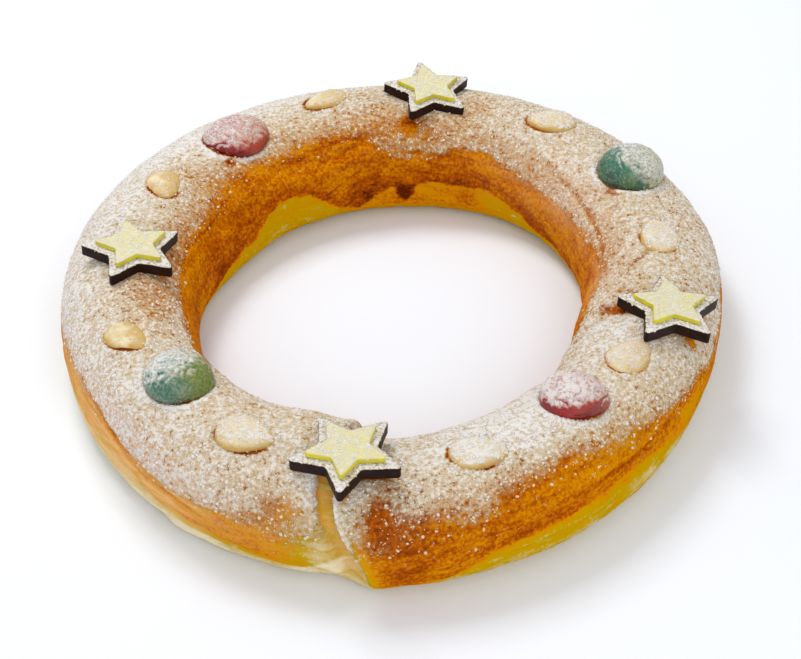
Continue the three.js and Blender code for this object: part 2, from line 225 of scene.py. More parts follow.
# Some bake patches paint light and shade: deeper bake low on the back of the hole's wall is painted
# shade where the wall stands in its own shade; lighter crust at the seam's trough and beside the
# front star is painted light where they shade it; the dark marks at the right star's left side and
# at the feet of the back cherries are partly a fold or bare crust and partly painted shade.
BAKE_PATCHES = (
    (270, 45, 14, 24, 0.18), (292, 20, 22, 10, 0.03), (304, 37, 34, 10, -0.09),
    (267, 44, 4, 9, 0.14), (330, 38, 22, 12, -0.08), (322, 58, 24, 12, -0.16),
    (325, 26, 18, 6, 0.12), (222, 50, 34, 14, 0.10), (190, 60, 20, 20, 0.10),
    (254, 26, 9, 16, -0.16), (262, 10, 8, 18, -0.12), (222, -26, 56, 6, -0.2),
    (206, 18, 32, 8, -0.10), (229, 16, 24, 6, -0.18), (258.5, 12, 7, 18, -0.28),
    (289, 30, 8, 7, 0.08), (306, 1, 40, 6, 0.04), (98, 172, 9, 12, 0.05), (83.5, 117, 4, 4, 0.2),
    (64, 184, 5, 5, 0.12), (85, 180, 5, 7, 0.14), (162, 168, 14, 12, 0.10),
    (20, 128, 50, 12, 0.06), (84, 192, 40, 7, 0.2), (23.2, 104, 4, 2.5, 0.3),
    (136.2, 109, 3, 1.6, 0.3), (150, 166, 24, 8, 0.06), (328, -2, 22, 7, -0.05),
    (203, -2, 14, 7, -0.12), (300, 14, 26, 6, 0.10), (340, 116, 8, 10, 0.12),
    (340.5, 111, 2.6, 8, 0.12), (195, 125, 20, 12, 0.04), (80, 186, 40, 9, 0.09),
    (0, 158, 12, 14, 0.08), (266, 46, 12, 22, -0.14), (62, 188, 16, 9, 0.15),
    (100, 188, 14, 9, 0.04), (280, 44, 14, 10, -0.06), (200, -2, 16, 8, -0.06),
)

# Where the sugar let the warm crust show through it, from 0 to 1.
BLUSH_PATCHES = (
    (214, 28, 50, 11, 1.0), (226, 10, 22, 9, 0.55), (212, -4, 34, 6, 0.5), (30, 136, 36, 11, 0.75),
    (354, 138, 16, 9, 0.5),
)

# The way from a topping to its lee, seen from above, where the sugar didn't reach.
LEE = np.array((-0.5, -0.87))

# The toppings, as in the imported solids.
STAR_WAIST = 0.5
STAR_TIP_SHARE = 0.05
# name, angle, radius, top, lean out, lean along, direction of the first arm
STARS = (
    ("front", 261.4, 101.7, 45.9, -7, 0, -97), ("right", 341.3, 107.8, 43.9, 1, 8, 90),
    ("back", 79.4, 101.2, 47.2, 1, -5, 101), ("left", 178.8, 97.4, 47.2, -6, -5, 108),
)
STAR_GAP = 0.35
STAR_VOXEL = 0.34
STAR_SLOPES = (0.45, 0.85)
# The share of a star's reach that keeps sugar off the dough below it, how much it keeps off, and
# the height above which the dough can lie in its shade.
SHADE_REACH = 0.72
SHADE_LOSS = 0.8
SHADE_HEIGHT = 12.0
# How much sugar the lee of a topping loses, how much darker its crust is painted there as shade at
# the topping's foot, and what its sugared lip adds.
LEE_LOSS = 0.7
LEE_PAINTED_SHADE = 0.25
LIP_GAIN = 0.35
BALL_SUBDIVISIONS = 6
CHERRY_TAPER = 0.12
# name, look, angle, offset, turn, length, width, height, sink, then the way that the sugar fell
# from, and how much of it the cherry took, how much at least, and between which slopes it thickens
CHERRIES = (
    ("cherry_red_back", "red", 129.5, -0.5, -40, 28, 25, 14, 7,
     (-0.3, 0.3, 0.9), (0.66, 0.24, -0.2, 0.7)),
    ("cherry_red_front", "red", 310.2, -2, -54, 24.5, 20, 17, 8.5,
     (-0.1, 0.35, 0.95), (0.82, 0.14, -0.1, 0.62)),
    ("cherry_green_back", "green", 26, 4.2, 64, 27, 25, 20, 9.2,
     (0.75, 0.15, 0.65), (0.76, 0.34, -0.4, 0.75)),
    ("cherry_green_front", "green", 221, -3.2, 39, 25, 24, 16, 8,
     (-0.4, 0.6, 0.7), (0.84, 0.38, -0.25, 1.0)),
)
ALMOND_HEIGHT = 7
ALMOND_SUGAR_WAY = (0.1, 0.35, 0.9)
ALMOND_SLOPES = (0.0, 0.85)
ALMOND_TAPER = 0.28
# angle, offset, turn, length, width, sink, how much sugar it took, how golden its right side is
ALMONDS = (
    (286.5, -0.2, -15, 21, 13.5, 4.2, 0.88, 0.3), (326.8, 2.4, -13, 20, 14.5, 4.9, 0.62, 0.6),
    (4.6, 1.2, 4, 20, 15, 4.6, 0.72, 0.3), (49.2, 3.3, 40, 21, 15, 3.8, 0.66, 0.3),
    (104.6, 5.2, 14, 20, 13, 4.2, 0.5, 0.6), (153, -0.2, 43, 19, 14, 4.6, 0.42, 0.85),
    (204.8, 2.6, 25, 19, 13, 5.2, 0.32, 0.9), (240.8, 2.6, 8, 21, 14.5, 4.0, 0.72, 0.3),
)


def tint(code):
    """A colour written as six hex digits, as the linear values that shaders take."""
    values = [int(code[i : i + 2], 16) / 255 for i in (0, 2, 4)]
    return tuple(v / 12.92 if v <= 0.04045 else ((v + 0.055) / 1.055) ** 2.4 for v in values)


# Settings


def metres(name, description, default):
    return FloatProperty(name=name, description=description, default=default, min=0.0,
                         precision=5, unit="LENGTH")


def hue(name, description, code):
    return FloatVectorProperty(name=name, description=description, default=tint(code),
                               min=0.0, max=1.0, size=3, subtype="COLOR")


class DoughSettings(bpy.types.PropertyGroup):
    """Sizes and colours of the roll of dough."""

    ring_radius: metres("Ring radius", "From the wreath's middle to the roll's", 0.101)
    half_width: metres("Half width", "Half the width of the roll", 0.0269)
    height: metres("Height", "Height of the roll", 0.0418)
    unevenness: metres("Unevenness", "Rise and fall of the hand-rolled skin", 0.00045)
    folds: metres("Folds", "Depth of the fine folds along the roll", 0.0004)
    swell: metres("Swell", "Rise of the dough round the toppings", 0.0007)
    columns: IntProperty(name="Columns", description="Rows of points round the ring",
                         default=640, min=120, max=900)
    sides: IntProperty(name="Sides", description="Points round the section",
                       default=152, min=48, max=240)
    pale: hue("Pale dough", "Dough that the oven hardly coloured", "E8DCB8")
    gold: hue("Golden dough", "Dough that rose late and stayed yellow", "BF9B00")
    # Also painted light, where it lightens the seam's bare strip.
    honey_and_painted_light: hue("Honey", "Colour of crust that stayed light above the gold", "F6C488")
    orange: hue("Orange crust", "Egg-washed crust low on the roll", "D68800")
    brown: hue("Brown crust", "Well baked crust", "AC5000")
    dark: hue("Dark crust", "The darkest caramel crust", "5C2000")


class StarSettings(bpy.types.PropertyGroup):
    """Sizes and colours of the chocolate stars."""

    reach: metres("Reach", "From the middle to a tip of the dark star", 0.0208)
    thickness: metres("Thickness", "Thickness of the dark star", 0.0047)
    top_reach: metres("Upper reach", "From the middle to a tip of the lemon star", 0.015)
    top_thickness: metres("Upper thickness", "Thickness of the lemon star", 0.0019)
    edge: metres("Edge", "Rounding of the moulded edges", 0.0005)
    dark: hue("Dark chocolate", "Colour of the lower stars", "1F0F0A")
    lemon: hue("Lemon chocolate", "Colour of the upper stars", "DCD02A")


class FruitSettings(bpy.types.PropertyGroup):
    """Colours and skin of the cherries and the almonds."""

    wrinkle: metres("Wrinkle", "Depth of the wrinkles in a cherry", 0.00035)
    ridge: metres("Ridge", "Height of the ridges along an almond", 0.00018)
    red: hue("Red cherry", "Colour of the red cherries", "9C0A1C")
    amber: hue("Amber cherry", "Where a red cherry thins out", "A43820")
    green: hue("Green cherry", "Colour of the green cherries", "2E6C54")
    olive: hue("Olive cherry", "Where a green cherry thins out", "5C7410")
    almond: hue("Almond", "Colour of the blanched almonds", "E4D6B2")
    rim: hue("Almond rim", "Colour low on the almonds", "C8A250")


class SugarSettings(bpy.types.PropertyGroup):
    """The icing sugar."""

    grain: metres("Grain", "Width of a fine grain", 0.00066)
    clump: metres("Clump", "Width of a clump of grains", 0.00125)
    grains: FloatProperty(name="Grain density", description="Fine grains on a square metre",
                          default=950000.0, min=0.0)
    clumps: FloatProperty(name="Clump density", description="Clumps on a square metre",
                          default=180000.0, min=0.0)
    seed: IntProperty(name="Seed", description="Seed of the scatter", default=7, min=0)
    white: hue("Sugar", "Colour of thick icing sugar", "E3DFDB")
    cream: hue("Loose sugar", "Colour of single specks of sugar", "DFC9A6")
    thin: hue("Thin sugar", "Where a film of sugar lets the surface through", "D0BE9C")
    blush: hue("Blushing sugar", "Thin sugar that lets warm crust show", "E0BDA2")


class StageSettings(bpy.types.PropertyGroup):
    """Floor, lights and camera."""

    distance: metres("Distance", "From the camera to the point it looks at", 0.573)
    elevation: FloatProperty(name="Elevation", description="Camera angle above the floor",
                             default=math.radians(45.14), subtype="ANGLE")
    roll: FloatProperty(name="Roll", description="Turn of the camera about its view",
                        default=math.radians(1.52), subtype="ANGLE")
    lens: FloatProperty(name="Lens", description="Focal length", default=63.86, min=1.0)
    target: FloatVectorProperty(name="Target", description="The point that the camera looks at",
                                default=(0.00281, 0.00279, 0.0), subtype="TRANSLATION")
    key: FloatProperty(name="Key light", description="Power of the window light", default=4.5,
                       min=0.0, unit="POWER")
    fill: FloatProperty(name="Fill light", description="Power of the front light", default=3.8,
                        min=0.0, unit="POWER")
    sky: FloatProperty(name="Surround", description="Strength of the light all round",
                       default=0.64, min=0.0)
    floor: hue("Floor", "Colour of the floor", "EFF3F9")


# The form of the dough, in millimetres


def turn_between(start, end):
    """The turn from one angle to another, from -180 to 180 degrees."""
    return (end - start + 180.0) % 360.0 - 180.0


def outer_side(side):
    """A side counted from the outermost point, from -180 to 180."""
    return turn_between(0.0, side)


def on_outer_side(side):
    return np.abs(outer_side(side)) < 90.0


def smoothstep(x, low, high):
    share = np.clip((x - low) / (high - low), 0.0, 1.0)
    return share * share * (3.0 - 2.0 * share)


def waves_at(waves, angle):
    return sum(swell * np.cos(np.radians(count * (angle - peak))) for count, swell, peak in waves)


def line_at(line, angle):
    """The side of a line of (angle, side) pairs at an angle."""
    angles, sides = zip(*line)
    return np.interp(angle, angles, sides, period=360.0)


def bell(places, angle, side, arc):
    """The sum of soft bumps, each (angle, side, half length, half girth, height)."""
    total = np.zeros(np.broadcast(angle, side).shape)
    for place, place_side, length, girth, height in places:
        along = turn_between(place, angle) * arc / length
        around = turn_between(place_side, side) * GIRTH_PER_DEGREE / girth
        total += height * np.exp(-(along**2) - around**2)
    return total


def crease_depth(creases, angle, side, arc):
    """How deep the creases are at a place on the skin; each fades out towards both ends."""
    total = np.zeros(np.broadcast(angle, side).shape)
    for path, depth, width in creases:
        nearest = np.full(total.shape, np.inf)
        left = np.zeros(total.shape)
        for i, (start, end) in enumerate(zip(path, path[1:])):
            along = turn_between(start[0], angle) * arc
            around = turn_between(start[1], side) * GIRTH_PER_DEGREE
            run_along = turn_between(start[0], end[0]) * arc
            run_around = (end[1] - start[1]) * GIRTH_PER_DEGREE
            share = (along * run_along + around * run_around) / (run_along**2 + run_around**2)
            held = np.clip(share, 0.0, 1.0)
            distance = np.hypot(along - held * run_along, around - held * run_around)
            closer = distance < nearest
            nearest = np.where(closer, distance, nearest)
            left = np.where(closer, np.sin(np.pi * (i + held) / (len(path) - 1)), left)
        share = np.maximum(0.0, 1.0 - (nearest / width) ** 2)
        total += depth * left * share * share
    return total


def evenly(steps, places, count):
    """So many of the places as lie at even shares of the way that the steps between them make."""
    way = np.concatenate([[0.0], np.cumsum(steps)])
    return np.interp(np.arange(count) / count * way[-1], way, places)


class RollForm:
    """The roll of dough: its section at any angle, and the skin over it."""

    def __init__(self, dough):
        self.radius = dough.ring_radius / MM
        self.half_width = dough.half_width / MM
        self.height = dough.height / MM
        self.arc = math.radians(1.0) * self.radius

    def foot_share(self, side):
        """How much of the way down the outer foot a side lies, from 0 above it to 1."""
        return 1.0 - smoothstep(outer_side(side), *FOOT_SIDES)

    def wall_share(self, past, side):
        """0 left of the seam's wall and 1 right of it."""
        outside = on_outer_side(side)
        slope = np.where(outside, WALL_SLOPE * self.foot_share(side), 0.0)
        return smoothstep(past * self.arc, WALL_START - slope, WALL_END)

    def seam_angle(self, side):
        share = np.maximum(0.0, np.cos(np.radians(side - SEAM_LEAN_SIDE)))
        return SEAM_ANGLE - SEAM_LEAN * share**2

    def at(self, angle, past, side):
        """The roll's middle radius, half width and height."""
        step = (2.0 * self.wall_share(past, side) - 1.0) * np.exp(-np.abs(past) / SEAM_FADE)
        radius = self.radius + waves_at(RADIUS_WAVES, angle) + SEAM_RADIUS_STEP * step
        half_width = self.half_width + waves_at(WIDTH_WAVES, angle) + SEAM_WIDTH_STEP * step
        height = self.height + waves_at(HEIGHT_WAVES, angle) + SEAM_HEIGHT_STEP * step
        return radius, half_width, height

    def section(self, half_width, height, side):
        """A point of the smooth roll: how far outside the middle, and how high."""
        across = np.cos(np.radians(side))
        up = np.sin(np.radians(side))
        roundness = 2.0 / np.where(up > 0.0, CROWN_ROUNDNESS, FOOT_ROUNDNESS)
        rise = np.where(up > 0.0, height - WAIST_HEIGHT, WAIST_HEIGHT * FOOT_PRESS)
        offset = half_width * np.sign(across) * np.abs(across) ** roundness
        return offset, WAIST_HEIGHT + rise * np.sign(up) * np.abs(up) ** roundness

    def relief(self, angle, side, past):
        """How far the skin stands out from the smooth roll."""
        run = past * self.arc
        down = smoothstep(run, TROUGH_START, TROUGH_FLOOR) * (1.0 - self.foot_share(side))
        wall = self.wall_share(past, side)
        rim = wall * np.exp(-np.maximum(0.0, run) / RIM_WIDTH)
        rise = RIM_RISE * rim - TROUGH_DEPTH * down * (1.0 - wall)
        rise = rise + bell(LUMPS, angle, side, self.arc)
        return rise - crease_depth(CREASES + FINE_CREASES, angle, side, self.arc)

    def skin(self, column, side, extra=0.0):
        """Points of the skin, and the true angle of each."""
        past = turn_between(SEAM_ANGLE, column)
        near_seam = np.exp(-np.abs(past) / SEAM_FADE)
        angle = column + (self.seam_angle(side) - SEAM_ANGLE) * near_seam
        radius, half_width, height = self.at(angle, past, side)
        offset, up = self.section(half_width, height, side)
        out = offset / half_width**2
        out_up = (up - WAIST_HEIGHT) / (height - WAIST_HEIGHT) ** 2
        size = np.hypot(out, out_up)
        rise = (self.relief(angle, side, past) + extra) * smoothstep(up, 0.0, FOOT_HEIGHT)
        reach = radius + offset + rise * out / size
        z = np.maximum(0.0, up + rise * out_up / size)
        turn = np.radians(angle)
        return np.stack([reach * np.cos(turn), reach * np.sin(turn), z], -1), angle, past

    def columns(self, count):
        """Column angles, closest together at the seam."""
        fine = np.linspace(-180.0, 180.0, FINE_STEPS)
        crowd = 1.0 + SEAM_CROWD * np.exp(-((fine * self.arc / SEAM_CROWD_REACH) ** 2))
        return SEAM_ANGLE + evenly((crowd[1:] + crowd[:-1]) / 2.0, fine, count)

    def sides(self, count):
        """Sides at even steps round the section, wider apart under the base."""
        fine = np.linspace(0.0, 360.0, FINE_STEPS)
        offset, up = self.section(self.half_width, self.height, fine)
        step = np.hypot(np.diff(offset), np.diff(up))
        return evenly(np.where(up[1:] < BASE_HEIGHT, BASE_STEP * step, step), fine, count)


def turned(angle, axis):
    return Matrix.Rotation(math.radians(angle), 4, axis)


def crest_frame(form, angle, offset, turn, height, sink):
    """The frame of a round topping sunk into the crest: x along its length, z out of the dough."""
    past = turn_between(SEAM_ANGLE, angle)
    radius, half_width, roll_height = (float(v) for v in form.at(angle, past, 90.0))
    share = offset / half_width
    rise = roll_height - WAIST_HEIGHT
    crown = (1.0 - abs(share) ** CROWN_ROUNDNESS) ** (1.0 / CROWN_ROUNDNESS)
    out = Vector((math.copysign(abs(share) ** (CROWN_ROUNDNESS - 1.0), share) / half_width,
                  crown ** (CROWN_ROUNDNESS - 1.0) / rise)).normalized()
    lift = height / 2.0 - sink
    up = WAIST_HEIGHT + rise * crown + lift * out.y
    lean = math.degrees(math.atan2(out.x, out.y))
    return (Matrix.Translation(BOX_SHIFT) @ turned(angle, "Z")
            @ Matrix.Translation((radius + offset + lift * out.x, 0.0, up))
            @ turned(lean, "Y") @ turned(90.0 + turn, "Z"))


def star_frame(star, above):
    """A star's frame: x along its first arm, z out of its top, the origin so far above the top."""
    _, angle, radius, top, lean_out, lean_along, point = star
    return (Matrix.Translation(BOX_SHIFT) @ turned(angle, "Z")
            @ Matrix.Translation((radius, 0.0, top)) @ turned(lean_out, "Y")
            @ turned(-lean_along, "X") @ turned(point - angle, "Z")
            @ Matrix.Translation((0.0, 0.0, above)))


# Meshes and pieces


def read_all(items, name, kind=float, width=3):
    """One value of every item, as rows of the given width."""
    flat = np.empty(len(items) * width, kind)
    items.foreach_get(name, flat)
    return flat.reshape(-1, width)


def points_of(mesh):
    return read_all(mesh.vertices, "co")


def normals_of(mesh):
    return read_all(mesh.vertex_normals, "vector")


def placed(points, place):
    """Points moved by a frame."""
    place = np.array(place)
    return points @ place[:3, :3].T + place[:3, 3]


def move_points(mesh, points):
    mesh.vertices.foreach_set("co", np.asarray(points, float).ravel())
    mesh.update()


def put_value(mesh, name, values, kind="FLOAT", field="value"):
    """Stores a number, or another kind of value, for each point of a mesh."""
    attribute = mesh.attributes.new(name, kind, "POINT")
    attribute.data.foreach_set(field, np.asarray(values, np.float32).ravel())


def value_of(mesh, name):
    return read_all(mesh.attributes[name].data, "value", np.float32, 1).ravel()


def noise_at(points, size, seed=0.0):
    """Smooth noise from -1 to 1 at points in millimetres, with bumps of the given size."""
    shift = Vector((seed * 17.3, seed * 5.1, seed * 9.7))
    return np.array([noise.noise(Vector(p) + shift) for p in (points / size).tolist()])


def finish_piece(obj, slot, *nodes):
    """Gives a piece smooth shading, fastens it to the root body and hides the imported solids that
    it stands for.
    """
    obj.data.shade_smooth()
    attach(obj, BODY)
    if nodes:
        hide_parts(*nodes)


def finish_mesh(mesh, material, slot, *nodes):
    """Makes a finished piece of a mesh."""
    mesh.materials.append(material)
    finish_piece(add_object(mesh.name, mesh), slot, *nodes)


def add_object(name, data):
    obj = bpy.data.objects.new(name, data)
    bpy.context.scene.collection.objects.link(obj)
    return obj


def settle(obj):
    """Turns an object and its live modifiers into a plain mesh."""
    evaluated = obj.evaluated_get(bpy.context.evaluated_depsgraph_get())
    mesh = bpy.data.meshes.new_from_object(evaluated)
    obj.modifiers.clear()
    obj.data = mesh
    mesh.name = obj.name
    return mesh


# Node trees


class Nodes:
    """Adds nodes to a tree and wires them, with each input given as a value or as a socket."""

    def __init__(self, tree):
        self.tree = tree

    def add(self, kind, inputs=None, **settings):
        step = len(self.tree.nodes)
        node = self.tree.nodes.new(kind)
        node.location = (180 * (step % 12), -220 * (step // 12))
        for name, value in settings.items():
            setattr(node, name, value)
        self.wire(node.inputs, inputs or {})
        return node

    def first(self, kind, inputs=None, **settings):
        """The first output of a new node."""
        return self.add(kind, inputs, **settings).outputs[0]

    def wire(self, sockets, values):
        for name, value in values.items():
            socket = sockets[name]
            if isinstance(value, bpy.types.NodeSocket):
                self.tree.links.new(value, socket)
            elif socket.type == "RGBA":
                socket.default_value = (*value, 1.0)
            else:
                socket.default_value = value

    def math(self, operation, a, b, clamp=False):
        inputs = {0: a, 1: b}
        return self.first("ShaderNodeMath", inputs, operation=operation, use_clamp=clamp)

    def plus(self, a, b, clamp=False):
        return self.math("ADD", a, b, clamp)

    def minus(self, a, b, clamp=False):
        return self.math("SUBTRACT", a, b, clamp)

    def times(self, a, b):
        return self.math("MULTIPLY", a, b)

    def mix(self, share, a, b):
        """A colour between a and b."""
        return self.add("ShaderNodeMix", {0: share, 6: a, 7: b}, data_type="RGBA").outputs[2]

    def ramp(self, value, *stops):
        """A colour from a ramp of (place, colour) stops."""
        node = self.add("ShaderNodeValToRGB", {0: value})
        elements = node.color_ramp.elements
        while len(elements) < len(stops):
            elements.new(0.5)
        for element, (place, colour) in zip(elements, stops):
            element.position = place
            element.color = (*colour, 1.0)
        return node.outputs[0]

    def place(self):
        return self.add("ShaderNodeTexCoord").outputs["Object"]

    def stored(self, name, output="Fac"):
        """What put_value stored for each point."""
        return self.add("ShaderNodeAttribute", attribute_name=name).outputs[output]

    def noise(self, vector, scale, detail=2.0, roughness=0.5):
        inputs = {"Vector": vector, "Scale": scale, "Detail": detail, "Roughness": roughness}
        return self.first("ShaderNodeTexNoise", inputs)

    def remap(self, value, low, high, out_low=0.0, out_high=1.0, kind="SMOOTHSTEP"):
        inputs = {0: value, 1: low, 2: high, 3: out_low, 4: out_high}
        return self.first("ShaderNodeMapRange", inputs, interpolation_type=kind)


def shared(name, build):
    """A node group, built the first time that it is asked for."""
    return bpy.data.node_groups.get(name) or build(name)


def new_group(name, kind, inputs, outputs):
    """A node group with named sockets, each given as its type or as (type, default)."""
    tree = bpy.data.node_groups.new(name, kind)
    for way, sockets in (("INPUT", inputs), ("OUTPUT", outputs)):
        for title, given in sockets.items():
            of_type, *default = (given,) if isinstance(given, str) else given
            socket = tree.interface.new_socket(title, in_out=way,
                                               socket_type=f"NodeSocket{of_type}")
            if default:
                socket.default_value = default[0]
    nodes = Nodes(tree)
    return nodes, nodes.add("NodeGroupInput").outputs, nodes.add("NodeGroupOutput").inputs


def dusting_group(name):
    """Icing sugar on a surface, from how much lies there: the mask of its specks, the thin dust
    between them, and the height of both."""
    nodes, source, target = new_group(
        name, "ShaderNodeTree",
        {"Vector": "Vector", "Cover": ("Float", 0.5), "Grain": ("Float", 650.0),
         "Dust": ("Float", 0.9)},
        {"Mask": "Float", "Thin": "Float", "Height": "Float"})
    cover, grain = source["Cover"], source["Grain"]
    fine = nodes.noise(source["Vector"], grain, 3.0, 0.62)
    coarse = nodes.noise(source["Vector"], nodes.times(grain, 0.3), 1.0)
    blend = nodes.plus(nodes.times(fine, 0.8), nodes.times(coarse, 0.2))
    edge = nodes.remap(cover, 0.0, 1.0, 0.72, 0.38, "LINEAR")
    specks = nodes.remap(blend, nodes.minus(edge, 0.06), nodes.plus(edge, 0.08))
    around = nodes.remap(blend, nodes.minus(edge, 0.20), nodes.minus(edge, 0.05))
    dust = nodes.times(nodes.remap(cover, 0.25, 0.65), source["Dust"])
    nodes.wire(target, {"Mask": specks, "Thin": nodes.times(around, dust),
                        "Height": nodes.times(specks, nodes.plus(fine, 0.3))})
    return nodes.tree


def uneven_group(name):
    """Fine unevenness of a moulded or cut surface, as a height and a slow change of tone."""
    nodes, source, target = new_group(
        name, "ShaderNodeTree", {"Vector": "Vector", "Scale": ("Float", 600.0)},
        {"Tone": "Float", "Height": "Float"})
    tone = nodes.noise(source["Vector"], nodes.times(source["Scale"], 0.3), 3.0)
    height = nodes.noise(source["Vector"], source["Scale"], 4.0, 0.6)
    nodes.wire(target, {"Tone": nodes.remap(tone, 0.3, 0.7), "Height": height})
    return nodes.tree


def new_material(name):
    """An empty node material with its shader, as (material, nodes, the shader's inputs)."""
    material = bpy.data.materials.new(name)
    material.use_nodes = True
    material.node_tree.nodes.clear()
    nodes = Nodes(material.node_tree)
    shader = nodes.first("ShaderNodeBsdfPrincipled")
    nodes.add("ShaderNodeOutputMaterial", {"Surface": shader})
    return material, nodes, shader.node.inputs


def uneven_material(name, scale):
    """A new material, as above, with the tone and the height of its fine unevenness."""
    material, nodes, surface = new_material(name)
    uneven = nodes.add("ShaderNodeGroup", {"Vector": nodes.place(), "Scale": scale},
                       node_tree=shared("Fine unevenness", uneven_group)).outputs
    return material, nodes, surface, uneven["Tone"], uneven["Height"]


def dusted_finish(nodes, surface, sugar, colour, height, roughness, grain, dust, film,
                  pit_shade=0.0, soak=None):
    """Wires a surface under icing sugar into a shader: its colour, roughness and bump. The surface
    itself may be painted darker where much sugar lies, as shade in the pits between the specks; a
    film of sugar lies between the specks, and the sugar may soak up some of the surface's colour."""
    cover = nodes.stored("sugar")
    dusting = nodes.add(
        "ShaderNodeGroup",
        {"Vector": nodes.place(), "Cover": cover, "Grain": grain, "Dust": dust},
        node_tree=shared("Icing sugar dusting", dusting_group)).outputs
    mask = dusting["Mask"]
    # Painted shade: the surface is darkened where much sugar lies, as the pits between the specks
    # stand in shade.
    if pit_shade:
        colour = nodes.mix(nodes.remap(cover, 0.1, 0.7, 0.0, pit_shade), colour, BLACK)
    dusty = nodes.mix(dusting["Thin"], colour, film)
    speck = nodes.mix(nodes.remap(cover, 0.3, 0.8), sugar.cream, sugar.white)
    if soak is not None:
        speck = nodes.mix(soak, speck, colour)
    total = nodes.plus(nodes.times(height, 0.5), dusting["Height"])
    bump = {"Strength": 0.55, "Distance": 0.5 * MM, "Height": total}
    nodes.wire(surface, {
        "Base Color": nodes.mix(mask, dusty, speck),
        "Roughness": nodes.remap(mask, 0.0, 1.0, roughness, 0.85, "LINEAR"),
        "Normal": nodes.first("ShaderNodeBump", bump)})
    return mask


def glaze(nodes, surface, mask, weight, roughness):
    """A clear coat where no sugar lies."""
    bare = nodes.minus(1.0, mask, True)
    nodes.wire(surface, {"Coat Weight": nodes.times(bare, weight), "Coat Roughness": roughness})


# The dough


def crust_material(dough, sugar):
    """Egg-washed crust from pale dough to dark caramel, streaked along the ring, under sugar."""
    material, nodes, surface = new_material("baked_crust")
    place, bake, blush = nodes.place(), nodes.stored("bake"), nodes.stored("blush")
    streaks = nodes.noise(nodes.stored("flow", "Vector"), 420.0, 4.0, 0.6)
    blotches = nodes.noise(place, 130.0, 4.0, 0.6)
    specks = nodes.noise(place, 750.0, 3.0, 0.6)

    def change(pattern, *strength):
        """A pattern round nought, as strong as the bake makes it."""
        return nodes.times(nodes.minus(pattern, 0.5), nodes.remap(bake, *strength))

    total = nodes.plus(change(streaks, 0.1, 0.4, 0.2, 0.4),
                       change(blotches, 0.15, 0.4, 0.18, 0.34))
    total = nodes.plus(total, change(specks, 0.15, 0.5, 0.15, 0.8))
    baked = nodes.plus(bake, total, True)
    crust = nodes.ramp(baked, (0.02, dough.pale), (0.22, dough.gold), (0.47, dough.orange),
                       (0.72, dough.brown), (1.0, dough.dark))
    share = nodes.times(blush, nodes.remap(streaks, 0.36, 0.62, 0.25, 0.85))
    # Honey colour where the blush is high: warm crust seen through thin sugar, and painted light on
    # the seam's bare strip.
    crust = nodes.mix(share, crust, dough.honey_and_painted_light)
    film = nodes.mix(blush, sugar.thin, sugar.blush)
    height = nodes.plus(nodes.times(streaks, 0.7), specks)
    gloss = nodes.remap(blotches, 0.35, 0.65, 0.30, 0.46)
    # The crust is painted darker under much sugar, as shade in the pits between the specks.
    mask = dusted_finish(nodes, surface, sugar, crust, height, gloss, 650.0, 0.9, film, pit_shade=0.5)
    glaze(nodes, surface, mask, nodes.remap(baked, 0.3, 0.6, 0.0, 0.04), 0.3)
    nodes.wire(surface, {"Specular IOR Level": 0.0})
    return material


def on_hole_side(side):
    return (side > 90.0) & (side < 270.0)


def girths_past(outer_line, inner_line, angle, side, wander, wobble):
    """How far above an outer line, and how far short of an inner one, a place lies, in mm, where
    the lines wander by so much."""
    outer = outer_side(side) - line_at(outer_line, angle)
    inner = line_at(inner_line, angle) - side
    return (outer * GIRTH_PER_DEGREE + wander[0] * wobble,
            inner * GIRTH_PER_DEGREE + wander[1] * wobble)


def seam_bands(form, side, past, lip_width):
    """The bare strip left of the seam's wall and the lip right of it, each from 0 to 1."""
    run = past * form.arc
    slope = WALL_SLOPE * form.foot_share(side) * on_outer_side(side)
    middle = (WALL_START - slope + WALL_END) / 2.0
    wall = smoothstep(form.wall_share(past, side), 0.3, 0.7)
    strip = smoothstep(run, STRIP_START - slope / 2.0, STRIP_END) * (1.0 - wall)
    return strip, wall * np.exp(-(((run - middle - LIP_OFFSET) / lip_width) ** 2))


def crust_bake(form, angle, side, past, wobble):
    """How far the crust is baked, from 0 for pale dough to 1 for dark caramel."""
    inner = on_hole_side(side)
    outer_gap, inner_gap = girths_past(OUTER_GOLD_LINE, INNER_GOLD_LINE, angle, side,
                                       GOLD_WANDER, wobble)
    low, step, more = OUTER_BAKE
    outer = low + step * smoothstep(outer_gap, -1.5, 2.0) + more * smoothstep(outer_gap, 5.0, 18.0)
    low, step, more = INNER_BAKE
    caramel = np.exp(-(((inner_gap - 2.5) / 3.0) ** 2))
    within = low + step * smoothstep(inner_gap, -0.7, 0.8) + more * caramel
    bake = np.where(inner, within, outer) + bell(BAKE_PATCHES, angle, side, form.arc)
    strip, lip = seam_bands(form, side, past, 2.4)
    strip = strip * np.where(inner, 0.5, 1.0)
    # The strip's pale dough is kept light here, partly as painted light where the trough and the
    # front star shade it.
    floor = STRIP_BAKE + 0.065 * smoothstep(outer_side(side), -12.0, 32.0) + 0.07 * wobble
    bake = bake * (1.0 - strip) + floor * strip
    return np.clip(bake * (1.0 - LIP_SHARE * lip) + LIP_BAKE * LIP_SHARE * lip, 0.0, 1.0)


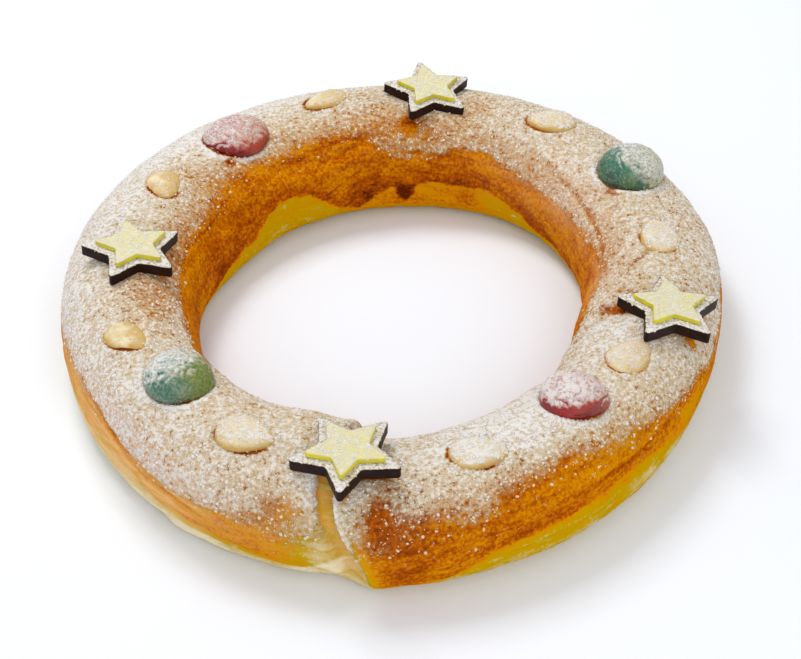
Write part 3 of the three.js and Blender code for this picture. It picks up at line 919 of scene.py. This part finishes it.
def sugar_cover(form, angle, side, past, wobble):
    """How much icing sugar lies on the dough, from 0 to 1."""
    inner = on_hole_side(side)
    outer_gap, inner_gap = girths_past(OUTER_SUGAR_LINE, INNER_SUGAR_LINE, angle, side,
                                       SUGAR_WANDER, wobble)
    gap = np.where(inner, inner_gap * 1.6 / line_at(INNER_SUGAR_FADE, angle),
                   outer_gap / line_at(OUTER_SUGAR_FADE, angle))
    patches = smoothstep(gap, -0.3, 0.7) * bell(SUGAR_PATCHES, angle, side, form.arc)
    cover = SUGAR_ON_CREST * smoothstep(gap, -0.35, 1.0) + patches
    strip, lip = seam_bands(form, side, past, 2.1)
    strip = smoothstep(strip + 0.3 * wobble, 0.25, 0.75) * ~inner
    lip = lip * smoothstep(outer_side(side), 4.0, 34.0) * ~inner
    return np.clip(np.maximum(cover * (1.0 - STRIP_LOSS * strip), LIP_SUGAR * lip), 0.0, 1.0)


def star_corners(reach):
    """The ten corners of a star's outline, its first arm along +X."""
    turns = np.arange(10) / 10.0 * 2.0 * np.pi
    radii = np.where(np.arange(10) % 2 == 0, reach, reach * STAR_WAIST)
    return np.stack([radii * np.cos(turns), radii * np.sin(turns)], -1)


def inside_share(points, corners, soft):
    """1 well inside a closed outline seen from above and 0 outside it, soft at the edge."""
    nearest = np.full(len(points), np.inf)
    inside = np.zeros(len(points), bool)
    for start, end in zip(corners, np.roll(corners, -1, 0)):
        run = end - start
        held = np.clip(((points - start) @ run) / (run @ run), 0.0, 1.0)
        nearest = np.minimum(nearest, np.linalg.norm(points - start - held[:, None] * run, axis=1))
        crosses = (start[1] > points[:, 1]) != (end[1] > points[:, 1])
        with np.errstate(divide="ignore", invalid="ignore"):
            at = start[0] + (points[:, 1] - start[1]) * run[0] / run[1]
        inside ^= crosses & (points[:, 0] < at)
    return smoothstep(np.where(inside, nearest, -nearest), -soft, soft)


def shaded_by_stars(points, reach):
    """How far the stars keep falling sugar off points, from 0 to 1."""
    total = np.zeros(len(points))
    for star in STARS:
        place = star_frame(star, 0.0)
        flat = star_corners(SHADE_REACH * reach)
        corners = np.array([(place @ Vector((x, y, 0.0)))[:2] for x, y in flat])
        near = np.linalg.norm(points[:, :2] - corners.mean(0), axis=1) < reach + 4.0
        near &= points[:, 2] > SHADE_HEIGHT
        total[near] = np.maximum(total[near], inside_share(points[near, :2], corners, 0.8))
    return total


def round_toppings(form):
    """The frame and the size of each cherry and almond half."""
    for _, _, angle, offset, turn, *size, sink, _, _ in CHERRIES:
        yield crest_frame(form, angle, offset, turn, size[2], sink), size
    for angle, offset, turn, length, width, sink, _, _ in ALMONDS:
        place = crest_frame(form, angle, offset, turn, ALMOND_HEIGHT, sink)
        yield place, (length, width, ALMOND_HEIGHT)


def beside_toppings(points, form):
    """The swell of the dough round the round toppings, the bare lee at their feet, and the lip in
    front of the cherries that caught sugar, each from 0 to 1. The sugar fell from behind and from
    the right."""
    swell, lee, lip = np.zeros((3, len(points)))
    for place, size in round_toppings(form):
        half = np.array(size) / 2.0
        inside = placed(points, place.inverted()) / half
        gap = (np.linalg.norm(inside, axis=1) - 1.0) * half[:2].mean()
        away = points[:, :2] - np.array(place.translation)[:2]
        facing = away @ LEE / (np.linalg.norm(away, axis=1) + 0.01)
        cherry = size[2] > ALMOND_HEIGHT
        ring = np.exp(-(((gap - 1.4) / 0.9) ** 2))
        swell = np.maximum(swell, ring)
        foot = 1.0 - smoothstep(gap, 0.1, 0.8 if cherry else 1.2)
        lee = np.maximum(lee, foot * smoothstep(facing, -0.1, 0.6))
        if cherry:
            lip = np.maximum(lip, ring * smoothstep(facing, -0.2, 0.5))
    return swell, lee, lip


class WREATH_OT_dough(bpy.types.Operator):
    """Shape the roll of dough, with its seam, creases and crust"""

    bl_idname = "wreath.dough"
    bl_label = "Shape Dough Ring"

    def execute(self, context):
        scene = context.scene
        dough = scene.wreath_dough
        form = RollForm(dough)
        side, column = np.meshgrid(form.sides(dough.sides), form.columns(dough.columns))
        shape = column.shape
        smooth, angle, past = form.skin(column, side)
        flat = smooth.reshape(-1, 3)
        turn = np.radians(angle)
        flow = np.stack([form.radius * np.cos(turn) * FLOW_SQUEEZE,
                         form.radius * np.sin(turn) * FLOW_SQUEEZE,
                         side * GIRTH_PER_DEGREE], -1).reshape(-1, 3)

        def pattern(points, size, seed=0.0):
            return noise_at(points, size, seed).reshape(shape)

        # The colour and the sugar
        wobble = pattern(flow * 5.0, 9.0, 3.0) + 0.6 * pattern(flow, 1.3, 4.0)
        bake = crust_bake(form, angle, side, past, wobble)
        sugar = sugar_cover(form, angle, side, past, wobble)
        blush = bell(BLUSH_PATCHES, angle, side, form.arc)
        # The skin: its unevenness, long folds where little sugar lies, and the toppings' swell
        bumps = pattern(flat, 15.0) + 0.45 * pattern(flat, 6.0, 1.0)
        pits = np.minimum(0.0, pattern(flat, 3.4, 2.0) + 0.1)
        tight = 1.0 - smoothstep(bake, 0.25, 0.6)
        uneven = dough.unevenness / MM
        extra = uneven * (bumps + 0.5 * pits)
        extra = extra + uneven * (0.35 + 0.45 * tight) * pattern(flow, 1.5, 5.0)
        stray = flow.copy()
        stray[:, 2] += 6.0 * noise_at(flat, 34.0, 6.0)
        fold = np.exp(-((pattern(stray, 4.6, 7.0) / 0.14) ** 2))
        bare = 1.0 - smoothstep(sugar, 0.15, 0.5)
        extra = extra - dough.folds / MM * (0.35 + 0.65 * bare) * fold
        fine = crease_depth(FINE_CREASES, angle, side, form.arc)
        # Painted shade: the crust is darker in the long folds and in the fine creases.
        bake = bake + 0.08 * fold * bare + (0.1 + 0.12 * bare) * fine
        blush = blush * (1.0 - fine)
        # Painted light: the outer bare strip at the seam is lightened towards the honey colour,
        # where the trough and the front star shade it.
        painted_light_strip = seam_bands(form, side, past, 2.4)[0] * on_outer_side(side)
        swell, lee, lip = (v.reshape(shape)
                           for v in beside_toppings(flat + np.array(BOX_SHIFT), form))
        extra = extra + dough.swell / MM * swell
        # Painted shade: the crust is darker at the toppings' feet on their lee side.
        bake = bake + LEE_PAINTED_SHADE * lee
        # Less sugar lies in the fine creases, so they also show as dark lines of painted shade.
        sugar = sugar * (1.0 - 0.5 * fine.clip(0.0, 1.0)) + LIP_GAIN * lip
        points, _, _ = form.skin(column, side, extra)
        points = points.reshape(-1, 3) + np.array(BOX_SHIFT)
        shade = shaded_by_stars(points, scene.wreath_stars.reach / MM).reshape(shape)
        sugar = sugar * (1.0 - SHADE_LOSS * shade) * (1.0 - LEE_LOSS * lee)
        corner = np.arange(side.size).reshape(shape)
        quads = np.stack([corner, np.roll(corner, -1, 0), np.roll(corner, (-1, -1), (0, 1)),
                          np.roll(corner, -1, 1)], -1).reshape(-1, 4)
        mesh = bpy.data.meshes.new("dough_crust")
        mesh.from_pydata((points * MM).tolist(), [], quads.tolist())
        put_value(mesh, "sugar", sugar)
        put_value(mesh, "bake", bake)
        put_value(mesh, "blush", np.clip(blush + 0.45 * painted_light_strip, 0.0, 1.0))
        put_value(mesh, "flow", flow * MM, "FLOAT_VECTOR", "vector")
        crust = crust_material(dough, scene.wreath_sugar)
        finish_mesh(mesh, crust, "dough", "dough_ring")
        return {"FINISHED"}


# Geometry trees


def geometry_group(name, inputs):
    """A geometry tree that takes a mesh, the named inputs and a material."""
    return new_group(name, "GeometryNodeTree",
                     {"Geometry": "Geometry", **inputs, "Material": "Material"},
                     {"Geometry": "Geometry"})


def end_tree(nodes, target, geometry, material):
    """Ends a geometry tree: instances made real, and the material set."""
    real = nodes.first("GeometryNodeRealizeInstances", {"Geometry": geometry})
    finished = {"Geometry": real, "Material": material}
    nodes.wire(target, {"Geometry": nodes.first("GeometryNodeSetMaterial", finished)})
    return nodes.tree


def add_tree(obj, name, build, values):
    """Gives an object a geometry tree, with its inputs set by name."""
    modifier = obj.modifiers.new(name, "NODES")
    modifier.node_group = shared(name, build)
    for item in modifier.node_group.interface.items_tree:
        if item.in_out == "INPUT" and item.name in values:
            modifier[item.identifier] = values[item.name]


# The stars


def star_tree(name):
    """A moulded star: the outline, its tips rounded, filled and pushed up to its thickness."""
    nodes, source, target = geometry_group(name, {
        "Reach": "Float", "Waist": "Float", "Tip radius": "Float", "Thickness": "Float"})
    inner = nodes.times(source["Reach"], source["Waist"])
    outline = nodes.first("GeometryNodeCurveStar", {
        "Points": 5, "Inner Radius": inner, "Outer Radius": source["Reach"]})
    rounded = nodes.first("GeometryNodeFilletCurve", {
        "Curve": outline, "Count": 3, "Radius": source["Tip radius"], "Limit Radius": True},
        mode="POLY")
    sheet = nodes.first("GeometryNodeFillCurve", {"Curve": rounded}, mode="NGONS")
    raised = nodes.first("GeometryNodeExtrudeMesh", {
        "Mesh": sheet, "Offset Scale": source["Thickness"], "Individual": False}, mode="FACES")
    both = nodes.add("GeometryNodeJoinGeometry")
    for part in (raised, nodes.first("GeometryNodeFlipFaces", {"Mesh": sheet})):
        nodes.tree.links.new(part, both.inputs[0])
    closed = nodes.first("GeometryNodeMergeByDistance", {
        "Geometry": both.outputs[0], "Distance": 0.01 * MM})
    return end_tree(nodes, target, closed, source["Material"])


def dark_chocolate(stars, sugar):
    material, nodes, surface, tone, height = uneven_material("dark_chocolate_finish", 700.0)
    colour = nodes.mix(tone, stars.dark, tuple(1.9 * v for v in stars.dark))
    dusted_finish(nodes, surface, sugar, colour, height, 0.45, 1000.0, 0.8, sugar.thin)
    nodes.wire(surface, {"Specular IOR Level": 0.12})
    return material


def lemon_chocolate(stars, sugar):
    material, nodes, surface, tone, height = uneven_material("lemon_chocolate_finish", 600.0)
    colour = nodes.mix(tone, stars.lemon, tuple(0.82 * v for v in stars.lemon))
    film = tuple(0.5 * (a + b) for a, b in zip(sugar.white, stars.lemon))
    dusted_finish(nodes, surface, sugar, colour, height, 0.5, 600.0, 0.9, film, soak=0.33)
    nodes.wire(surface, {"Subsurface Weight": 0.1, "Subsurface Scale": 1.0 * MM})
    return material


def fallen_sugar(mesh, cover, least, low, high, seed, way=(0.0, 0.0, 1.0), size=4.0):
    """Stores how much sugar fell on each point of a topping: the least on what turns away, and
    more between two slopes towards the way that it fell from, uneven in patches of a size."""
    facing = normals_of(mesh) @ np.array(Vector(way).normalized())
    uneven = noise_at(points_of(mesh) / MM, size, seed)
    values = cover * smoothstep(facing + 0.18 * uneven, low, high) + 0.12 * uneven * (facing > low)
    put_value(mesh, "sugar", np.clip(values, least, 1.0))


def moulded_star(name, place, reach, thickness, edge, material, cover, seed, least=0.0,
                 bare_edge=0.0):
    """One star, with soft edges and the slight waves of a moulding."""
    obj = add_object(name, bpy.data.meshes.new(name))
    add_tree(obj, "Moulded star", star_tree, {
        "Reach": reach, "Waist": STAR_WAIST, "Tip radius": reach * STAR_TIP_SHARE,
        "Thickness": thickness, "Material": material})
    bevel = obj.modifiers.new("Edges", "BEVEL")
    bevel.width = edge
    bevel.segments = 3
    bevel.limit_method = "ANGLE"
    bevel.angle_limit = math.radians(40.0)
    remesh = obj.modifiers.new("Even mesh", "REMESH")
    remesh.mode = "VOXEL"
    remesh.voxel_size = STAR_VOXEL * MM
    mesh = settle(obj)
    mesh.materials.clear()
    mesh.materials.append(material)
    points = points_of(mesh) / MM
    flat = points[:, :2].copy()
    waves = 0.10 * noise_at(points, 5.0, seed) + 0.05 * noise_at(points, 1.6, seed + 1.0)
    move_points(mesh, placed(points + normals_of(mesh) * waves[:, None], place) * MM)
    fallen_sugar(mesh, cover, least, *STAR_SLOPES, seed)
    if bare_edge:
        inside = 2.0 * inside_share(flat, star_corners(reach / MM), bare_edge) - 1.0
        put_value(mesh, "sugar", value_of(mesh, "sugar") * (0.45 + 0.55 * inside.clip(0.0, 1.0)))
    return obj


class WREATH_OT_stars(bpy.types.Operator):
    """Mould the four dark chocolate stars and the four lemon ones on them"""

    bl_idname = "wreath.stars"
    bl_label = "Mould Chocolate Stars"

    def execute(self, context):
        stars = context.scene.wreath_stars
        sugar = context.scene.wreath_sugar
        dark = dark_chocolate(stars, sugar)
        lemon = lemon_chocolate(stars, sugar)
        for i, star in enumerate(STARS):
            base = moulded_star(f"dark_star_{star[0]}", star_frame(star, -stars.thickness / MM),
                                stars.reach, stars.thickness, stars.edge, dark, 0.78, 3.0 * i,
                                least=0.04)
            finish_piece(base, "dark_chocolate", f"star_{star[0]}_base")
            top = moulded_star(f"lemon_star_{star[0]}", star_frame(star, 0.0), stars.top_reach,
                               stars.top_thickness + STAR_GAP * MM, 0.6 * stars.edge, lemon,
                               0.74, 3.0 * i + 1.5, bare_edge=0.9)
            finish_piece(top, "lemon_chocolate", f"star_{star[0]}_top")
        return {"FINISHED"}


# The cherries and the almonds


def ball(name, size, place, form, relief):
    """A round topping: a ball given its form, drawn out to its size, its skin worked, and put in
    its place. The form and the relief take and give points of the unit ball and of the drawn-out
    one, in millimetres."""
    mesh = bpy.data.meshes.new(name)
    shape = bmesh.new()
    bmesh.ops.create_icosphere(shape, subdivisions=BALL_SUBDIVISIONS, radius=1.0)
    shape.to_mesh(mesh)
    shape.free()
    drawn = form(points_of(mesh)) * np.array(size) / 2.0
    move_points(mesh, drawn)
    points = drawn + normals_of(mesh) * relief(drawn)[:, None]
    put_value(mesh, "rise", points[:, 2] / size[2] + 0.5)
    points = placed(points, place)
    put_value(mesh, "across", (points[:, 0] - place.translation.x) / size[0] + 0.5)
    move_points(mesh, points * MM)
    return mesh


def cherry_form(points):
    x, y, z = points.T
    x = x * (1.0 - CHERRY_TAPER * np.maximum(0.0, x) * z)
    return np.stack([x, y * (1.0 - CHERRY_TAPER * x), z], -1)


def almond_form(points):
    x, y, z = points.T
    return np.stack([x, y * (1.0 - ALMOND_TAPER * x), z], -1)


def cherry_material(name, skin, far, sugar):
    """Glazed fruit, clear and dark, turning to another colour on its right, painted darker towards
    its foot as shade where it sits in the dough, with sugar on it.
    """
    material, nodes, surface, tone, height = uneven_material(name, 420.0)
    cover = nodes.stored("sugar")
    share = nodes.remap(nodes.plus(nodes.stored("across"), nodes.times(tone, 0.3)), 0.45, 1.05)
    # Painted shade: the fruit is darker towards its foot, where it sits in the dough.
    shade_by_rise = nodes.plus(nodes.stored("rise"), nodes.times(tone, 0.5))
    fresh = nodes.mix(share, skin, far)
    colour = nodes.mix(nodes.remap(shade_by_rise, 0.6, 1.0, 0.6, 1.0), BLACK, fresh)
    film = nodes.mix(nodes.remap(cover, 0.1, 0.32, 0.1, 0.5), fresh,
                     nodes.mix(share, sugar.white, sugar.cream))
    soak = nodes.plus(nodes.remap(cover, 0.3, 0.75, 0.5, 0.08), nodes.times(share, 0.2))
    mask = dusted_finish(nodes, surface, sugar, colour, height, 0.25, 1000.0, 0.9, film, soak=soak)
    glaze(nodes, surface, mask, 0.22, 0.16)
    nodes.wire(surface, {"Subsurface Weight": 0.25, "Subsurface Scale": 3.0 * MM,
                         "Subsurface Radius": (1.0, 0.35, 0.2)})
    return material


class WREATH_OT_cherries(bpy.types.Operator):
    """Set the two red and the two green glace cherries into the crest"""

    bl_idname = "wreath.cherries"
    bl_label = "Set Cherries"

    def execute(self, context):
        fruit = context.scene.wreath_fruit
        sugar = context.scene.wreath_sugar
        form = RollForm(context.scene.wreath_dough)
        looks = {"red": cherry_material("red_cherry_skin", fruit.red, fruit.amber, sugar),
                 "green": cherry_material("green_cherry_skin", fruit.green, fruit.olive, sugar)}
        for i, (name, look, angle, offset, turn, *size, sink, way, took) in enumerate(CHERRIES):
            seed = 2.0 * i

            def wrinkles(points, seed=seed):
                folds = 1.0 - np.abs(noise_at(points, 5.5, seed)) * 2.4
                broad, fine = noise_at(points, 9.0, seed + 1.0), noise_at(points, 2.2, seed + 3.0)
                depth = fruit.wrinkle / MM
                return depth * (0.5 * broad - 0.8 * folds.clip(0.0) ** 3 + 0.25 * fine)

            place = crest_frame(form, angle, offset, turn, size[2], sink)
            mesh = ball(f"{name}_skin", size, place, cherry_form, wrinkles)
            fallen_sugar(mesh, *took, seed, way, 2.0)
            finish_mesh(mesh, looks[look], f"{look}_cherry", name)
        return {"FINISHED"}


def almond_material(fruit, sugar):
    """Blanched almond: cream, with golden flanks and fine ridges, dusted with sugar."""
    material, nodes, surface, tone, height = uneven_material("blanched_almond", 800.0)
    high = nodes.plus(nodes.stored("rise"), nodes.times(tone, 0.16))
    colour = nodes.mix(nodes.remap(high, 0.70, 0.98), fruit.rim, fruit.almond)
    colour = nodes.mix(nodes.stored("golden"), colour, fruit.rim)
    film = nodes.mix(0.5, colour, sugar.cream)
    dusted_finish(nodes, surface, sugar, colour, height, 0.55, 700.0, 0.7, film, soak=0.2)
    nodes.wire(surface, {"Subsurface Weight": 0.1, "Subsurface Scale": 1.5 * MM})
    return material


class WREATH_OT_almonds(bpy.types.Operator):
    """Press the eight blanched almond halves into the crest"""

    bl_idname = "wreath.almonds"
    bl_label = "Press In Almonds"

    def execute(self, context):
        fruit = context.scene.wreath_fruit
        form = RollForm(context.scene.wreath_dough)
        material = almond_material(fruit, context.scene.wreath_sugar)
        for i, (angle, offset, turn, length, width, sink, took, golden) in enumerate(ALMONDS):
            seed = 3.0 * i

            def ridges(points, seed=seed):
                fine = noise_at(points / (8.0, 1.0, 8.0), 1.3, seed)
                return fruit.ridge / MM * (fine + 1.2 * noise_at(points, 5.0, seed + 1.0))

            place = crest_frame(form, angle, offset, turn, ALMOND_HEIGHT, sink)
            size = (length, width, ALMOND_HEIGHT)
            mesh = ball(f"almond_half_{i + 1}", size, place, almond_form, ridges)
            fallen_sugar(mesh, took, 0.3 * took, *ALMOND_SLOPES, seed, ALMOND_SUGAR_WAY, 3.0)
            patches = value_of(mesh, "across") + 0.5 * noise_at(points_of(mesh) / MM, 4.0, seed)
            put_value(mesh, "golden", golden * smoothstep(patches, 0.15, 0.7))
            finish_mesh(mesh, material, "almond", f"almond_{i + 1}")
        return {"FINISHED"}


# The icing sugar


def scatter_tree(name):
    """Grains scattered over a surface, as thick as its sugar attribute says."""
    nodes, source, target = geometry_group(name, {
        "Density": "Float", "Width": "Float", "Segments": "Int", "Rings": "Int", "Seed": "Int"})
    cover = nodes.first("GeometryNodeInputNamedAttribute", {"Name": "sugar"}, data_type="FLOAT")
    density = nodes.times(nodes.math("POWER", cover, 1.5), source["Density"])
    points = nodes.add("GeometryNodeDistributePointsOnFaces", {
        "Mesh": source["Geometry"], "Density": density, "Seed": source["Seed"]},
        distribute_method="RANDOM").outputs
    grain = nodes.first("GeometryNodeMeshUVSphere", {
        "Segments": source["Segments"], "Rings": source["Rings"],
        "Radius": nodes.times(source["Width"], 0.5)})

    def draw(least, most, seed):
        return nodes.first("FunctionNodeRandomValue", {0: least, 1: most, "Seed": seed},
                           data_type="FLOAT_VECTOR")

    stretch = draw((0.55, 0.55, 0.35), (1.35, 1.35, 0.85), source["Seed"])
    tumble = draw((-0.5, -0.5, 0.0), (0.5, 0.5, 6.283), nodes.plus(source["Seed"], 11.0))
    turned_by = nodes.first("FunctionNodeEulerToRotation", {"Euler": tumble})
    rotation = nodes.first("FunctionNodeRotateRotation", {
        "Rotation": points["Rotation"], "Rotate By": turned_by}, rotation_space="LOCAL")
    grains = nodes.first("GeometryNodeInstanceOnPoints", {
        "Points": points[0], "Instance": grain, "Rotation": rotation, "Scale": stretch})
    return end_tree(nodes, target, grains, source["Material"])


def sugar_material(sugar):
    """Loose sugar: cream where it lies thin, white where it lies thick."""
    material, nodes, surface = new_material("icing_sugar_grains")
    tone = nodes.times(nodes.minus(nodes.noise(nodes.place(), 500.0), 0.5), 0.8)
    thick = nodes.remap(nodes.plus(nodes.stored("sugar"), tone), 0.2, 0.75)
    nodes.wire(surface, {"Base Color": nodes.mix(thick, sugar.cream, sugar.white),
                         "Roughness": 0.6})
    return material


def sugared_surface(sources):
    """One mesh of the surfaces that sugar fell on, with the sugar that each point took."""
    points, faces, cover = [], [], []
    start = 0
    for obj in sources:
        mesh = obj.data
        mesh.calc_loop_triangles()
        corners = read_all(mesh.loop_triangles, "vertices", np.int32)
        sugar = value_of(mesh, "sugar")
        points.append(points_of(mesh))
        cover.append(sugar)
        faces.append(corners[sugar[corners].max(1) > LEAST_SUGAR] + start)
        start += len(mesh.vertices)
    surface = bpy.data.meshes.new("sugared_surface")
    surface.from_pydata(np.concatenate(points).tolist(), [], np.concatenate(faces).tolist())
    put_value(surface, "sugar", np.concatenate(cover))
    return surface


class WREATH_OT_sugar(bpy.types.Operator):
    """Dust the wreath with icing sugar, as fine grains and as clumps"""

    bl_idname = "wreath.sugar"
    bl_label = "Dust With Icing Sugar"

    def execute(self, context):
        sugar = context.scene.wreath_sugar
        surface = sugared_surface([
            obj for obj in context.scene.objects
            if obj.type == "MESH" and "sugar" in obj.data.attributes and "cherry" not in obj.name])
        material = sugar_material(sugar)
        kinds = (("icing_sugar_grains", sugar.grain, sugar.grains, 4, 2, sugar.seed),
                 ("icing_sugar_clumps", sugar.clump, sugar.clumps, 6, 3, sugar.seed + 1))
        for name, width, density, segments, rings, seed in kinds:
            obj = add_object(name, surface)
            add_tree(obj, "Scattered sugar", scatter_tree, {
                "Density": density, "Width": width, "Segments": segments, "Rings": rings,
                "Seed": seed, "Material": material})
            mesh = settle(obj)
            triangles = sum(len(face.vertices) - 2 for face in mesh.polygons)
            print(f"{name}: {triangles} triangles")
            if not 0 < triangles < MOST_TRIANGLES:
                raise RuntimeError(f"{name} has {triangles} triangles")
            finish_piece(obj, "icing_sugar")
        bpy.data.meshes.remove(surface)
        return {"FINISHED"}


# The stage


class WREATH_OT_stage(bpy.types.Operator):
    """Set up the floor, the lights and the camera"""

    bl_idname = "wreath.stage"
    bl_label = "Set Up Stage"

    def execute(self, context):
        scene = context.scene
        stage = scene.wreath_stage
        scene.view_settings.view_transform = "Standard"
        data = bpy.data.cameras.new("camera")
        data.lens = stage.lens
        data.clip_start, data.clip_end = CAMERA_CLIP
        camera = add_object("camera", data)
        back = Vector((0.0, -math.cos(stage.elevation), math.sin(stage.elevation)))
        camera.matrix_world = (Matrix.Translation(Vector(stage.target) + back * stage.distance)
                               @ Matrix.Rotation(math.pi / 2.0 - stage.elevation, 4, "X")
                               @ Matrix.Rotation(-stage.roll, 4, "Z"))
        scene.camera = camera
        mesh = bpy.data.meshes.new("floor")
        corners = [(x * FLOOR_HALF, y * FLOOR_HALF, 0.0)
                   for x, y in ((-1, -1), (1, -1), (1, 1), (-1, 1))]
        mesh.from_pydata(corners, [], [(0, 1, 2, 3)])
        material, nodes, surface = new_material("studio_floor")
        nodes.wire(surface, {"Base Color": stage.floor, "Roughness": 0.9,
                             "Specular IOR Level": 0.1})
        mesh.materials.append(material)
        floor = add_object("floor", mesh)
        floor.location.z = -FLOOR_DROP
        world = bpy.data.worlds.new("surround")
        world.use_nodes = True
        surround = world.node_tree.nodes["Background"].inputs
        Nodes(world.node_tree).wire(surround, {0: (1.0, 1.0, 1.0), 1: stage.sky})
        scene.world = world
        for name, setting, place, target, width in LIGHTS:
            data = bpy.data.lights.new(name, "AREA")
            data.energy = getattr(stage, setting)
            data.size = width
            light = add_object(name, data)
            light.location = place
            way = Vector(target) - Vector(place)
            light.rotation_euler = way.to_track_quat("-Z", "Y").to_euler()
        return {"FINISHED"}


STEPS = ("dough", "stars", "cherries", "almonds", "sugar", "stage")
SETTINGS = (("wreath_dough", DoughSettings), ("wreath_stars", StarSettings),
            ("wreath_fruit", FruitSettings), ("wreath_sugar", SugarSettings),
            ("wreath_stage", StageSettings))


class VIEW3D_PT_wreath(bpy.types.Panel):
    """The wreath's settings and steps"""

    bl_label = "Almond Wreath"
    bl_idname = "VIEW3D_PT_wreath"
    bl_space_type = "VIEW_3D"
    bl_region_type = "UI"
    bl_category = "Wreath"

    def draw(self, context):
        for name, kind in SETTINGS:
            box = self.layout.box()
            for setting in kind.__annotations__:
                box.prop(getattr(context.scene, name), setting)
        for step in STEPS:
            self.layout.operator(f"wreath.{step}")


CLASSES = (DoughSettings, StarSettings, FruitSettings, SugarSettings, StageSettings,
           WREATH_OT_dough, WREATH_OT_stars, WREATH_OT_cherries, WREATH_OT_almonds,
           WREATH_OT_sugar, WREATH_OT_stage, VIEW3D_PT_wreath)


def register():
    for kind in CLASSES:
        bpy.utils.register_class(kind)
    for name, kind in SETTINGS:
        setattr(bpy.types.Scene, name, PointerProperty(type=kind))


def unregister():
    for name, _ in SETTINGS:
        delattr(bpy.types.Scene, name)
    for kind in reversed(CLASSES):
        bpy.utils.unregister_class(kind)


def main():
    """Makes every piece in order."""
    register()
    for step in STEPS:
        getattr(bpy.ops.wreath, step)()


if __name__ == "__main__":
    main()
